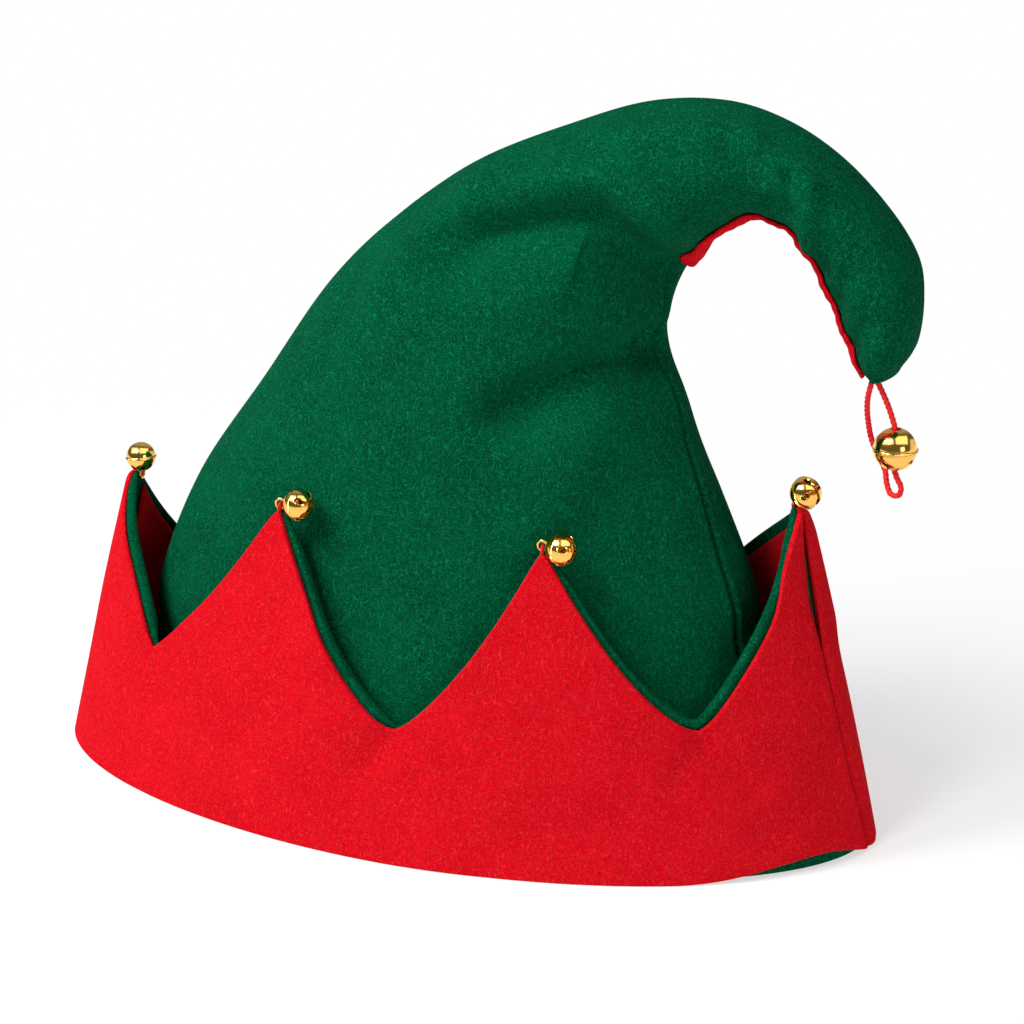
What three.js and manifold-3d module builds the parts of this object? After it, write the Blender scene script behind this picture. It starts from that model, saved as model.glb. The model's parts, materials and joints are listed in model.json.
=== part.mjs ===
// An elf hat sewn from felt: a hollow green crown that curls over into a hooked peak, a turned-up red
// cuff cut into six points, a brass bell on each point and a larger one hanging from the peak.
// Millimetres, +Z up, the front at -Y. The hat stands on its hem, and the origin is under its middle.

import * as THREE from 'three';
import { LoftGeometry } from 'three/addons/geometries/LoftGeometry.js';
import { mergeVertices } from 'three/addons/utils/BufferGeometryUtils.js';
import Module from 'manifold-3d';

const wasm = await Module();
wasm.setup();

// Driving dimensions

const HEM_LENGTH = 250; // the cuff's outer face at the hem, left to right: the hem goes round 586
const HEM_DEPTH = 113.4; // the same, front to back
const HAT_HEIGHT = 206; // from the hem to the top of the curl
const HEM_SQUARENESS = 1.88; // exponent of the hem's outline, where 2 is an ellipse
const LEAN = 0.0024; // share of its width that the cuff closes in by, for each millimetre up
const SPLAY = { right: 0.16, left: 0.08 }; // shares of that lean that the two end points stand out by
const CUFF_HEIGHT = 97.6; // from the hem to the highest point of the cuff
const CUFF_SWELL = 0.7; // how far the cuff swells between valleys, and is drawn in under each
const CROWN_FELT = 2;
const CUFF_FELT = 1.5;
const PLY_GAP = 0.3; // air left between two plies, where the sewn felt would touch
const TIP_BELL = { radius: 4.35, wall: 0.5, band: 0.5, slot: 0.9, eye: 0.95, ball: 1.3 };
const PEAK_BELL = { radius: 5.8, wall: 0.6, band: 0.8, slot: 1, eye: 1.5, ball: 1.2, hole: 1.5 };
const CORD_RADIUS = 0.8;

// Insets of the cuff's plies from its outer face, each one felt and one gap behind the last.

const PLY_STEP = CUFF_FELT + PLY_GAP;
const LINING_INSET = PLY_STEP;
const FACING_INSET = 2 * PLY_STEP;
const CROWN_INSET = 3 * PLY_STEP + 2 * PLY_GAP;

// Crown sections from the hem to the peak. Each is a rounded loop that spans from the outer rail, which
// runs up the left and over the curl, to the inner rail, which runs up the right and under the hook.
// x is a share of half the hem's length, z of the height, and depth of half the hem's depth.

const CROWN_SECTIONS = [
  { outerX: -0.772, outerZ: 0.145, innerX: 0.74, innerZ: 0.256, depth: 0.79 },
  { outerX: -0.739, outerZ: 0.272, innerX: 0.701, innerZ: 0.349, depth: 0.72 },
  { outerX: -0.63, outerZ: 0.426, innerX: 0.615, innerZ: 0.478, depth: 0.635 },
  { outerX: -0.455, outerZ: 0.579, innerX: 0.542, innerZ: 0.581, depth: 0.58 },
  { outerX: -0.284, outerZ: 0.726, innerX: 0.485, innerZ: 0.678, depth: 0.53 },
  { outerX: -0.115, outerZ: 0.828, innerX: 0.492, innerZ: 0.718, depth: 0.49 },
  { outerX: 0.065, outerZ: 0.905, innerX: 0.519, innerZ: 0.765, depth: 0.46 },
  { outerX: 0.27, outerZ: 0.96, innerX: 0.542, innerZ: 0.799, depth: 0.415 },
  { outerX: 0.437, outerZ: 0.994, innerX: 0.583, innerZ: 0.83, depth: 0.37 },
  { outerX: 0.598, outerZ: 1.0, innerX: 0.646, innerZ: 0.857, depth: 0.33 },
  { outerX: 0.732, outerZ: 0.977, innerX: 0.724, innerZ: 0.858, depth: 0.3 },
  { outerX: 0.847, outerZ: 0.935, innerX: 0.784, innerZ: 0.829, depth: 0.28 },
  { outerX: 0.949, outerZ: 0.875, innerX: 0.828, innerZ: 0.779, depth: 0.27 },
  { outerX: 1.01, outerZ: 0.82, innerX: 0.861, innerZ: 0.738, depth: 0.255 },
  { outerX: 1.026, outerZ: 0.768, innerX: 0.889, innerZ: 0.701, depth: 0.23 },
  { outerX: 1.02, outerZ: 0.713, innerX: 0.912, innerZ: 0.673, depth: 0.175 },
  { outerX: 0.992, outerZ: 0.68, innerX: 0.926, innerZ: 0.661, depth: 0.1 },
];

// Folds pressed into the crown, each along a chain of places. along counts sections up from the hem,
// round is the share of the way round from the outer rail past the front, and width and depth are in
// millimetres. A depth below zero stands out as a ridge.

const CROWN_FOLDS = [
  {
    name: 'big fold under the curl',
    along: [6.45, 7.15, 7.7, 7.55, 7.3],
    round: [0.17, 0.215, 0.25, 0.36, 0.46],
    width: 8,
    depth: 4.5,
  },
  { name: 'lip over the big fold', along: [7.6, 8.5], round: [0.15, 0.25], width: 8, depth: -1.5 },
  {
    name: 'crease to the inner corner',
    along: [4.3, 4.85, 5.08],
    round: [0.3, 0.37, 0.47],
    width: 8,
    depth: 3.2,
  },
  { name: 'swell below the crease', along: [3, 4.1], round: [0.33, 0.37], width: 10, depth: -2 },
  {
    name: 'ridge over the shoulder',
    along: [5.2, 6.2, 7.2],
    round: [0.14, 0.1, 0.03],
    width: 8,
    depth: -1.6,
  },
  { name: 'dent before the hook', along: [10.3, 10.9], round: [0.16, 0.32], width: 5, depth: 2 },
  { name: 'dent above the tip', along: [13.2, 13.45], round: [0.28, 0.4], width: 5, depth: 1.6 },
  { name: 'dent at the tip', along: [14.5, 15.1], round: [0.28, 0.42], width: 5, depth: 1.4 },
  { name: 'sag at the back', along: [4, 8], round: [0.72, 0.66], width: 14, depth: 3 },
];

// Where the seam between the crown's front and back meets each height: on the right it runs a little to
// the front of the inner rail, and under the hook along it. On the left it follows the outer rail.

const CROWN_SEAM_LINE = [
  { along: 0, round: 0.452 },
  { along: 2.5, round: 0.457 },
  { along: 3.7, round: 0.47 },
  { along: 5.1, round: 0.5 },
  { along: 17, round: 0.5 },
];

// Gathers that cross the crown under the hook, where it is sewn to the gusset.

const GATHERS = { first: 8, last: 16, folds: 7, depth: 0.4, reach: 0.22 };

// The cuff's upper edge: its points and the valleys between them, anticlockwise from the right-hand
// end. share is the place round the hem, and height is a share of the cuff's. curl and roll belong to the stretch from this row to the next:
// curl is the power of its climb from valley to point, where 1 is a straight tooth, and roll is how far
// the lining stands past the red edge.

const CUFF_EDGE = [
  { share: 0, height: 1, curl: 0.6, roll: 1.2 },
  { share: 0.12, height: 0.451, curl: 1.3, roll: 0.8 },
  { share: 0.19, height: 0.943, curl: 1.3, roll: 0.8 },
  { share: 0.265, height: 0.451, curl: 1.3, roll: 0.8 },
  { share: 0.345, height: 0.943, curl: 1.3, roll: 0.8 },
  { share: 0.42, height: 0.451, curl: 1.3, roll: 0.8 },
  { share: 0.5, height: 0.869, curl: 0.8, roll: 2.2 },
  { share: 0.586, height: 0.441, curl: 1.2, roll: 0 },
  { share: 0.667, height: 0.963, curl: 1.45, roll: 2.2 },
  { share: 0.748, height: 0.387, curl: 1.25, roll: 0 },
  { share: 0.8355, height: 0.936, curl: 1.5, roll: 2 },
  { share: 0.909, height: 0.434, curl: 1.15, roll: 3 },
];
const CUFF_EDGE_RING = [...CUFF_EDGE, { ...CUFF_EDGE[0], share: 1 }];
const POINT_ROUNDING = 0.035; // share of a tooth's half width that its point is rounded over
const ROLL_FADE = 5; // a roll is full from one part in this many of its stretch below the point
const COLUMNS_PER_STRETCH = 7; // columns of felt between a point and the next valley
const COLUMN_EASING = 1.4; // power that draws the columns together near the points

// The hem of the front lifts a little near the right-hand end, and shows the felt behind it.

const HEM_LIFT = { from: 0.895, to: 0.998, height: 3.2 };

// The right-hand seam is open near its point, between two shares of the cuff's height. fade is the
// share of the way round that the felt draws back over.

const SEAM_SLIT = { low: 0.635, high: 0.984, half: 1.1, fade: 0.015 };

// Bells sewn to the points. Each hangs by a wire shank, whose middle is a seat: above the point's tip,
// or flat on the felt's outer face or the lining's inner face, drop millimetres under the tip. towards
// is where the bell stands from there: right, away and up.

const TIP_BELLS = [
  { name: 'tip_bell_4', share: 0, seat: 'above', drop: 0, towards: [0.564, -0.579, 0.662] },
  { name: 'tip_bell_5', share: 0.19, seat: 'outside', drop: 0.4, towards: [0, 0, 1] },
  { name: 'tip_bell_6', share: 0.345, seat: 'outside', drop: 0.4, towards: [0, 0, 1] },
  { name: 'tip_bell_1', share: 0.5, seat: 'inside', drop: 0.85, towards: [0.05, -0.1, 1] },
  { name: 'tip_bell_2', share: 0.667, seat: 'above', drop: 0, towards: [0.994, -0.039, 0.085] },
  { name: 'tip_bell_3', share: 0.8355, seat: 'above', drop: 0, towards: [0.99, -0.13, 0] },
];

// The hanging bell's centre, how far its slots are turned, and the way its cord goes from the bell's
// centre: from the peak into the bell's top hole, out of its foot, round a small loop, and up behind
// the bell to the peak again.

const PEAK_BELL_PLACE = { x: 123.5, z: 117.2 };
const PEAK_BALL_PLACE = { away: 2.6, up: -2 };
const PEAK_BELL_TURN = THREE.MathUtils.degToRad(26.4);
const CORD_ROUTE = [
  { right: -5.3, away: 0, up: 18.8 },
  { right: -3.8, away: 0, up: 14.8 },
  { right: -2.4, away: 0, up: 11.4 },
  { right: -1.1, away: 0, up: 8 },
  { right: -0.2, away: 0, up: 4.8 },
  { right: 0, away: 0, up: 0 },
  { right: 0, away: 0, up: -4.8 },
  { right: 0.9, away: -0.5, up: -7.6 },
  { right: 2.3, away: -0.9, up: -10.2 },
  { right: 1.7, away: -0.2, up: -12.8 },
  { right: -0.6, away: 0.9, up: -13 },
  { right: -2, away: 2.2, up: -10.6 },
  { right: -2.9, away: 3.9, up: -7.8 },
  { right: -4.8, away: 5.4, up: -5 },
  { right: -6.5, away: 5.6, up: -1.9 },
  { right: -7.5, away: 5, up: 1.2 },
  { right: -8.1, away: 3.9, up: 5 },
  { right: -8.4, away: 2.4, up: 9.4 },
  { right: -8.1, away: 1.1, up: 13.8 },
  { right: -7.3, away: 0.3, up: 18.5 },
];

const greenFelt = new THREE.MeshStandardMaterial({ color: 0x075f3c, roughness: 0.95 });
const redFelt = new THREE.MeshStandardMaterial({ color: 0xe0142a, roughness: 0.95 });
const brass = new THREE.MeshStandardMaterial({ color: 0xe8b64a, roughness: 0.2, metalness: 1 });
const steel = new THREE.MeshStandardMaterial({ color: 0x8d8f94, roughness: 0.3, metalness: 1 });
const redCord = new THREE.MeshStandardMaterial({ color: 0xd81428, roughness: 0.8 });

// A power that keeps the sign of its base, for the hem's outline.

function signedPower(value, power) {
  return Math.sign(value) * Math.abs(value) ** power;
}

// The hem's outline, anticlockwise from the right-hand end.

class Hem extends THREE.Curve {
  constructor(halfLength, halfDepth) {
    super();
    this.halfLength = halfLength;
    this.halfDepth = halfDepth;
    this.arcLengthDivisions = 720;
  }

  getPoint(t, target = new THREE.Vector3()) {
    const angle = 2 * Math.PI * t;
    const power = 2 / HEM_SQUARENESS;
    const x = this.halfLength * signedPower(Math.cos(angle), power);
    const y = this.halfDepth * signedPower(Math.sin(angle), power);
    return target.set(x, y, 0);
  }
}

const hem = new Hem(HEM_LENGTH / 2, HEM_DEPTH / 2);

// The level direction that points out of the cuff at a place round the hem.

function outwardAt(share) {
  const tangent = hem.getTangentAt(THREE.MathUtils.euclideanModulo(share, 1));
  return new THREE.Vector3(tangent.y, -tangent.x, 0);
}

// A point of the cuff: a share of the way round, a height, and how far in from the outer face. The
// felt is drawn in under each valley and swells between them.

function onCuff(share, height, inset) {
  const place = THREE.MathUtils.euclideanModulo(share, 1);
  const pulse = Math.cos(Math.PI * CUFF_EDGE.length * place);
  const endwise = Math.cos(2 * Math.PI * place);
  const splay = (endwise > 0 ? SPLAY.right : SPLAY.left) * endwise ** 6;
  const belly = Math.sin(Math.PI * Math.min(1, height / CUFF_HEIGHT));
  const point = hem.getPointAt(place).multiplyScalar(1 - LEAN * (1 - splay) * height);
  point.addScaledVector(outwardAt(place), CUFF_SWELL * pulse * belly - inset);
  return point.setZ(height);
}

// The cuff's edge at a place round the hem: its height, and how far the lining stands past it.

function edgeAt(share) {
  const place = THREE.MathUtils.euclideanModulo(share, 1);
  const next = CUFF_EDGE_RING.findIndex((row) => row.share > place);
  const before = CUFF_EDGE_RING[next - 1];
  const after = CUFF_EDGE_RING[next];
  const climbing = after.height > before.height;
  const passed = (place - before.share) / (after.share - before.share);
  const toPoint = climbing ? 1 - passed : passed;
  const [valley, point] = climbing ? [before.height, after.height] : [after.height, before.height];
  const rounded = (span) => Math.hypot(span, POINT_ROUNDING) - POINT_ROUNDING;
  const climb = (1 - rounded(toPoint) / rounded(1)) ** before.curl;
  const fade = Math.min(1, ROLL_FADE * toPoint);
  const height = CUFF_HEIGHT * (valley + (point - valley) * climb);
  return { height, roll: before.roll * fade };
}

// The height of the lining's edge, which stands past the red edge square to it.

function liningHeightAt(share) {
  const stepMm = 1;
  const step = stepMm / hem.getLength();
  const rise = edgeAt(share + step).height - edgeAt(share - step).height;
  const slope = rise / (2 * stepMm);
  const edge = edgeAt(share);
  return edge.height + edge.roll * Math.hypot(1, slope);
}

// Columns of felt between two shares, closer together near the points.

function columnsBetween(first, last) {
  const shares = [];
  CUFF_EDGE_RING.slice(0, -1).forEach((row, i) => {
    const next = CUFF_EDGE_RING[i + 1];
    const fromPoint = row.height > next.height;
    for (let k = 0; k < COLUMNS_PER_STRETCH; k++) {
      const part = k / COLUMNS_PER_STRETCH;
      const eased = fromPoint ? part ** COLUMN_EASING : 1 - (1 - part) ** COLUMN_EASING;
      shares.push(row.share + eased * (next.share - row.share));
    }
  });
  const inside = shares.filter((share) => share > first + 1e-4 && share < last - 1e-4);
  return [first, ...inside, last];
}

// One ply of the cuff between two shares, as a loft through upright columns of felt. inset is the
// ply's outer face, low and high give its bottom and top, and sideways moves a point along the hem.

function ply({ first, last, inset, low, high, sideways = () => 0 }) {
  const columns = columnsBetween(first, last);
  const inner = inset + CUFF_FELT;
  return columns.map((share) => {
    const bottom = low(share);
    const top = high(share);
    const heights = [bottom, (bottom + top) / 2, top];
    const at = (height, depthIn) => onCuff(share + sideways(share, height), height, depthIn);
    const outside = heights.map((height) => at(height, inset));
    const inside = heights.map((height) => at(height, inner));
    return [outside[0], ...inside, ...outside.slice(1).reverse()];
  });
}

// Half the seam's opening at a height, as a share of the way round: open like a lens near the point.

function slitAt(height) {
  const part = (height / CUFF_HEIGHT - SEAM_SLIT.low) / (SEAM_SLIT.high - SEAM_SLIT.low);
  const open = part > 0 && part < 1 ? Math.sin(Math.PI * part) : 0;
  return (SEAM_SLIT.half * open) / hem.getLength();
}

const SEAM_GAP = PLY_GAP / hem.getLength(); // share of the way round that a seam keeps open

function hemLiftAt(share) {
  const part = (share - HEM_LIFT.from) / (HEM_LIFT.to - HEM_LIFT.from);
  return part > 0 && part < 1 ? HEM_LIFT.height * Math.sin(Math.PI * part) ** 2 : 0;
}

function cuffFront() {
  const last = 1 - SEAM_GAP / 2;
  const nearEnd = (share) => THREE.MathUtils.smoothstep(share, 1 - SEAM_SLIT.fade, last);
  return new LoftGeometry(
    ply({
      first: 0.5 + SEAM_GAP / 2,
      last,
      inset: 0,
      low: hemLiftAt,
      high: (share) => edgeAt(share).height,
      sideways: (share, height) => -slitAt(height) * nearEnd(share),
    }),
    { capStart: true, capEnd: true },
  );
}

function cuffBack() {
  const first = SEAM_GAP / 2;
  const nearStart = (share) => 1 - THREE.MathUtils.smoothstep(share, first, SEAM_SLIT.fade);
  return new LoftGeometry(
    ply({
      first,
      last: 0.5 - SEAM_GAP / 2,
      inset: 0,
      low: () => 0,
      high: (share) => edgeAt(share).height,
      sideways: (share, height) => slitAt(height) * nearStart(share),
    }),
    { capStart: true, capEnd: true },
  );
}

// The lining goes all the way round, so its last column is its first, and it has no ends to close.

const LINING_FOOT = 0.6; // its foot stays just off the surface that the hat stands on

function cuffLining() {
  const sections = ply({
    first: 0,
    last: 1,
    inset: LINING_INSET,
    low: () => LINING_FOOT,
    high: liningHeightAt,
  });
  return new LoftGeometry([...sections.slice(0, -1), sections[0]]);
}

const FACING_FOOT = 0.31 * CUFF_HEIGHT; // the back's facing ends a little way down behind the valleys
const FACING_SHORT = 2.5; // and stops short of the lining's edge
const FACING_ENDS = 0.006; // and of the two seams, as a share of the way round

function backFacing() {
  return new LoftGeometry(
    ply({
      first: FACING_ENDS,
      last: 0.5 - FACING_ENDS,
      inset: FACING_INSET,
      low: () => FACING_FOOT,
      high: (share) => edgeAt(share).height - FACING_SHORT,
    }),
    { capStart: true, capEnd: true },
  );
}

// Solids for joining and cutting

function solidOf(geometry) {
  const bare = new THREE.BufferGeometry();
  bare.setAttribute('position', geometry.getAttribute('position'));
  bare.setIndex(geometry.getIndex());
  const merged = mergeVertices(bare, 1e-4);
  return new wasm.Manifold(new wasm.Mesh({
    numProp: 3,
    vertProperties: new Float32Array(merged.attributes.position.array),
    triVerts: new Uint32Array(merged.index.array),
  }));
}

function geometryOf(solid) {
  const mesh = solid.getMesh();
  const geometry = new THREE.BufferGeometry();
  geometry.setAttribute('position', new THREE.BufferAttribute(mesh.vertProperties, 3));
  geometry.setIndex(new THREE.BufferAttribute(mesh.triVerts, 1));
  return geometry;
}

// The crown's rails, from the hem up. A rail point's y is the section's half depth there.

const HEM_ROW = {
  outerX: -(1 - CROWN_INSET / hem.halfLength),
  outerZ: 0,
  innerX: 1 - CROWN_INSET / hem.halfLength,
  innerZ: 0,
  depth: 1 - CROWN_INSET / hem.halfDepth,
};
const ROWS = [HEM_ROW, ...CROWN_SECTIONS];
const LAST_ROW = ROWS.length - 1;

function railThrough(xColumn, zColumn) {
  const points = ROWS.map((row) => new THREE.Vector3(
    row[xColumn] * hem.halfLength,
    row.depth * hem.halfDepth,
    row[zColumn] * HAT_HEIGHT,
  ));
  return new THREE.CatmullRomCurve3(points, false, 'catmullrom', 0.5);
}

const outerRail = railThrough('outerX', 'outerZ');
const innerRail = railThrough('innerX', 'innerZ');

// A point of the crown before its folds: along counts sections up from the hem, round is the share of
// the way round from the outer rail, past the front.

function plainCrown(along, round) {
  const outer = outerRail.getPoint(along / LAST_ROW);
  const inner = innerRail.getPoint(along / LAST_ROW);
  const halfDepth = outer.y;
  const angle = 2 * Math.PI * round;
  const power = 2 / THREE.MathUtils.lerp(HEM_SQUARENESS, 2.1, along / LAST_ROW);
  const middle = outer.clone().add(inner).multiplyScalar(0.5).setY(0);
  const reach = outer.clone().sub(inner).multiplyScalar(0.5).setY(0);
  const point = middle.addScaledVector(reach, signedPower(Math.cos(angle), power));
  return point.setY(-halfDepth * signedPower(Math.sin(angle), power));
}

// The direction out of the crown, square to its plain surface.

function crownNormal(along, round) {
  const step = 0.02;
  const up = plainCrown(Math.min(along + step, LAST_ROW), round);
  up.sub(plainCrown(Math.max(along - step, 0), round));
  const turn = plainCrown(along, round + step / 4).sub(plainCrown(along, round - step / 4));
  return turn.cross(up).normalize();
}

// Each fold as the straight lines between its places, and how far the folds press in at a point.

const foldLines = CROWN_FOLDS.map((fold) => {
  const places = fold.along.map((along, i) => plainCrown(along, fold.round[i]));
  return places.slice(1).map((place, i) => new THREE.Line3(places[i], place));
});

function foldsAt(point) {
  return CROWN_FOLDS.reduce((sum, fold, i) => {
    const gaps = foldLines[i].map((line) => {
      return line.closestPointToPoint(point, true, new THREE.Vector3()).distanceTo(point);
    });
    return sum + fold.depth * Math.exp(-((Math.min(...gaps) / fold.width) ** 2));
  }, 0);
}

function gathersAt(along, round) {
  const part = (along - GATHERS.first) / (GATHERS.last - GATHERS.first);
  if (part < 0 || part > 1) return 0;
  const beside = Math.exp(-(((round - 0.5) / GATHERS.reach) ** 2));
  const wave = Math.cos(2 * Math.PI * GATHERS.folds * part);
  return GATHERS.depth * wave * beside * Math.sin(Math.PI * part);
}

// A point of the crown with its folds, moved out by a distance along its normal.

function onCrown(along, round, outwards = 0) {
  const point = plainCrown(along, round);
  const move = outwards - foldsAt(point) - gathersAt(along, round);
  return point.addScaledVector(crownNormal(along, round), move);
}

// The crown: one loft for its outside, less another for its hollow, which opens at the hem. It is cut
// from two pieces of felt, a front and a back, sewn together along both rails.

const CROWN_ROUND = 30; // points round a section
const CROWN_UP = 40; // sections up the outside
const HOLLOW_UP = 13; // sections up the hollow
const CROWN_SEAM = PLY_GAP; // kept open between the front and the back
const HOLLOW_END = 15.6; // the hollow stops short of the peak here, counted in sections

function seamAt(along) {
  const next = Math.max(1, CROWN_SEAM_LINE.findIndex((row) => row.along >= along));
  const [before, after] = [CROWN_SEAM_LINE[next - 1], CROWN_SEAM_LINE[next]];
  const part = (along - before.along) / (after.along - before.along);
  return THREE.MathUtils.lerp(before.round, after.round, part);
}

// Half of a section, from one seam to the other: the front for a side of -1, the back for 1. ends is
// how far its two ends are moved back.

function crownLoop(along, outwards, side, ends) {
  const seam = seamAt(along);
  const last = CROWN_ROUND / 2;
  return Array.from({ length: last + 1 }, (_, j) => {
    const round = side < 0 ? (seam * j) / last : THREE.MathUtils.lerp(seam, 1, j / last);
    const point = onCrown(along, round, outwards);
    if (j === 0 || j === last) point.y += ends;
    return point;
  });
}

function crownLoft({ last, count, outwards, foot, side, ends }) {
  const alongs = Array.from({ length: count + 1 }, (_, i) => (last * i) / count);
  const loops = alongs.map((along) => crownLoop(along, outwards, side, ends));
  loops[0].forEach((point) => point.setZ(foot));
  return solidOf(new LoftGeometry(loops, { capStart: true, capEnd: true }));
}

// The hollow is cut right through the seam's face.

function crownHalf(side) {
  const outside = crownLoft({
    last: LAST_ROW,
    count: CROWN_UP,
    outwards: 0,
    foot: 0,
    side,
    ends: (side * CROWN_SEAM) / 2,
  });
  const hollow = crownLoft({
    last: HOLLOW_END,
    count: HOLLOW_UP,
    outwards: -CROWN_FELT,
    foot: -CROWN_FELT,
    side,
    ends: -side * CROWN_FELT,
  });
  return geometryOf(outside.subtract(hollow));
}

// The gusset: a band of red felt over the crown's inner rail, under the hook. It is widest a little
// way from its pointed end, and its edges ripple where they are gathered.

const GUSSET = {
  first: 7.4,
  last: 16.4,
  front: 0.06, // how far it reaches round the front of the crown, as a share of the way round
  back: 0.12,
  point: 0.1, // share of its width that its first end has
  widening: 6, // how fast it widens from there
  taper: 0.35, // share of its width lost by its last end
  felt: 1.3,
  puff: 0.35, // how far its middle stands off
  ripples: 10,
  ripple: 0.15,
  steps: 30,
  across: 3,
};

function gussetLoop(part) {
  const along = THREE.MathUtils.lerp(GUSSET.first, GUSSET.last, part);
  const narrowing = Math.min(1, GUSSET.widening * part + GUSSET.point) * (1 - GUSSET.taper * part);
  const wave = GUSSET.ripple * Math.cos(2 * Math.PI * GUSSET.ripples * part);
  const face = (height) => Array.from({ length: GUSSET.across + 1 }, (_, k) => {
    const side = k / GUSSET.across;
    const turn = THREE.MathUtils.lerp(-GUSSET.front, GUSSET.back, side) * narrowing;
    const puffed = height + (GUSSET.puff + wave) * Math.sin(Math.PI * (0.2 + 0.6 * side));
    return onCrown(along, 0.5 + turn, puffed);
  });
  const inner = PLY_GAP + GUSSET.ripple;
  return [...face(inner + GUSSET.felt), ...face(inner).reverse()];
}

function underGusset() {
  const parts = Array.from({ length: GUSSET.steps + 1 }, (_, i) => i / GUSSET.steps);
  return new LoftGeometry(parts.map(gussetLoop), { capStart: true, capEnd: true });
}

// A round bell, pressed from two bowls whose rims make a thin band round its middle. Its foot is
// slotted like a cross, each slot ending in a round hole. The slotted foot faces +Z.

const BELL_SIDES = 12;
const SHANK = { ring: 1.35, wire: 0.4 };
const SHANK_REACH = TIP_BELL.radius + SHANK.ring - SHANK.wire / 2; // bell's middle to shank's middle
const SHANK_SEAT = PLY_GAP + SHANK.wire; // shank's middle off the felt
const SLOT_REACH = 0.7; // share of a bell's radius at which its slots' round ends lie

function bellBody({ radius, wall, band }) {
  const profile = [];
  const steps = 3;
  for (let i = 0; i <= steps; i++) {
    const angle = -Math.PI / 2 + (i / steps) * (Math.PI / 2 - band / radius);
    profile.push(new THREE.Vector2(radius * Math.cos(angle), radius * Math.sin(angle)));
  }
  const rim = radius + band / 2;
  const mirrored = profile.map((point) => new THREE.Vector2(point.x, -point.y)).reverse();
  profile.push(new THREE.Vector2(rim, -band / 2), new THREE.Vector2(rim, band / 2), ...mirrored);
  profile[0].x = 0;
  profile[profile.length - 1].x = 0;
  const outside = solidOf(new THREE.LatheGeometry(profile, BELL_SIDES).rotateX(Math.PI / 2));
  const hollow = solidOf(new THREE.SphereGeometry(radius - wall, 8, 5).rotateX(Math.PI / 2));
  return outside.subtract(hollow);
}

function slotCutters({ radius, slot, eye }) {
  const reach = radius * SLOT_REACH;
  const bar = new THREE.BoxGeometry(2 * reach, slot, radius);
  const across = solidOf(bar.clone().translate(0, 0, radius));
  const other = solidOf(bar.clone().rotateZ(Math.PI / 2).translate(0, 0, radius));
  const round = new THREE.CylinderGeometry(eye, eye, radius, 6).rotateX(Math.PI / 2);
  const eyes = [0, 1, 2, 3].map((k) => {
    const angle = (k * Math.PI) / 2;
    const hole = round.clone().translate(reach * Math.cos(angle), reach * Math.sin(angle), radius);
    return solidOf(hole);
  });
  return [across, other, ...eyes];
}

function slottedBody(size) {
  return slotCutters(size).reduce((solid, cutter) => solid.subtract(cutter), bellBody(size));
}

function tipBell() {
  const slotted = slottedBody(TIP_BELL);
  const ring = new THREE.TorusGeometry(SHANK.ring, SHANK.wire, 4, 8).rotateY(Math.PI / 2);
  return geometryOf(slotted.add(solidOf(ring.translate(0, 0, -SHANK_REACH))));
}

function peakBell() {
  const { radius, hole } = PEAK_BELL;
  const through = new THREE.CylinderGeometry(hole, hole, 3 * radius, 12).rotateX(Math.PI / 2);
  return geometryOf(slottedBody(PEAK_BELL).subtract(solidOf(through)));
}

function ball(radius) {
  return new THREE.SphereGeometry(radius, 8, 4);
}

// The cord, swept along its route

const CORD_SIDES = 6;
const CORD_STEPS = 38;

function hangCord() {
  const points = CORD_ROUTE.map(({ right, away, up }) => new THREE.Vector3(right, away, up));
  const outline = new THREE.Shape(Array.from({ length: CORD_SIDES }, (_, k) => {
    const angle = (2 * Math.PI * k) / CORD_SIDES;
    return new THREE.Vector2(CORD_RADIUS * Math.cos(angle), CORD_RADIUS * Math.sin(angle));
  }));
  const path = new THREE.CatmullRomCurve3(points);
  return new THREE.ExtrudeGeometry(outline, { steps: CORD_STEPS, extrudePath: path });
}

// The assembly

function mesh(name, geometry, material) {
  const piece = new THREE.Mesh(geometry, material);
  piece.name = name;
  return piece;
}

const felt = new THREE.Group();
felt.add(
  mesh('crown_front', crownHalf(-1), greenFelt),
  mesh('crown_back', crownHalf(1), greenFelt),
  mesh('under_gusset', underGusset(), redFelt),
  mesh('cuff_front', cuffFront(), redFelt),
  mesh('cuff_back', cuffBack(), redFelt),
  mesh('cuff_lining', cuffLining(), greenFelt),
  mesh('back_facing', backFacing(), redFelt),
);

// Where each kind of seat has the shank's middle: how far in from the cuff's face, and above the tip.

const SEATS = {
  outside: { inset: -SHANK_SEAT, rise: 0 },
  inside: { inset: LINING_INSET + CUFF_FELT + SHANK_SEAT, rise: 0 },
  above: { inset: CUFF_FELT, rise: SHANK.ring + SHANK_SEAT },
};

const bellGeometry = tipBell();
const bells = new THREE.Group();
for (const row of TIP_BELLS) {
  const outward = outwardAt(row.share);
  const { inset, rise } = SEATS[row.seat];
  const seat = onCuff(row.share, edgeAt(row.share).height + rise - row.drop, inset);
  const axis = new THREE.Vector3(...row.towards).normalize();
  const level = outward.clone().projectOnPlane(axis).normalize();
  const turned = new THREE.Matrix4().makeBasis(level, axis.clone().cross(level), axis);
  const bell = mesh(row.name, bellGeometry, brass);
  bell.position.copy(seat).addScaledVector(axis, SHANK_REACH);
  bell.quaternion.setFromRotationMatrix(turned);
  const loose = mesh(`${row.name}_ball`, ball(TIP_BELL.ball), steel);
  loose.position.copy(bell.position);
  loose.position.z -= TIP_BELL.radius - TIP_BELL.wall - TIP_BELL.ball - PLY_GAP;
  bells.add(bell, loose);
}

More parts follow.
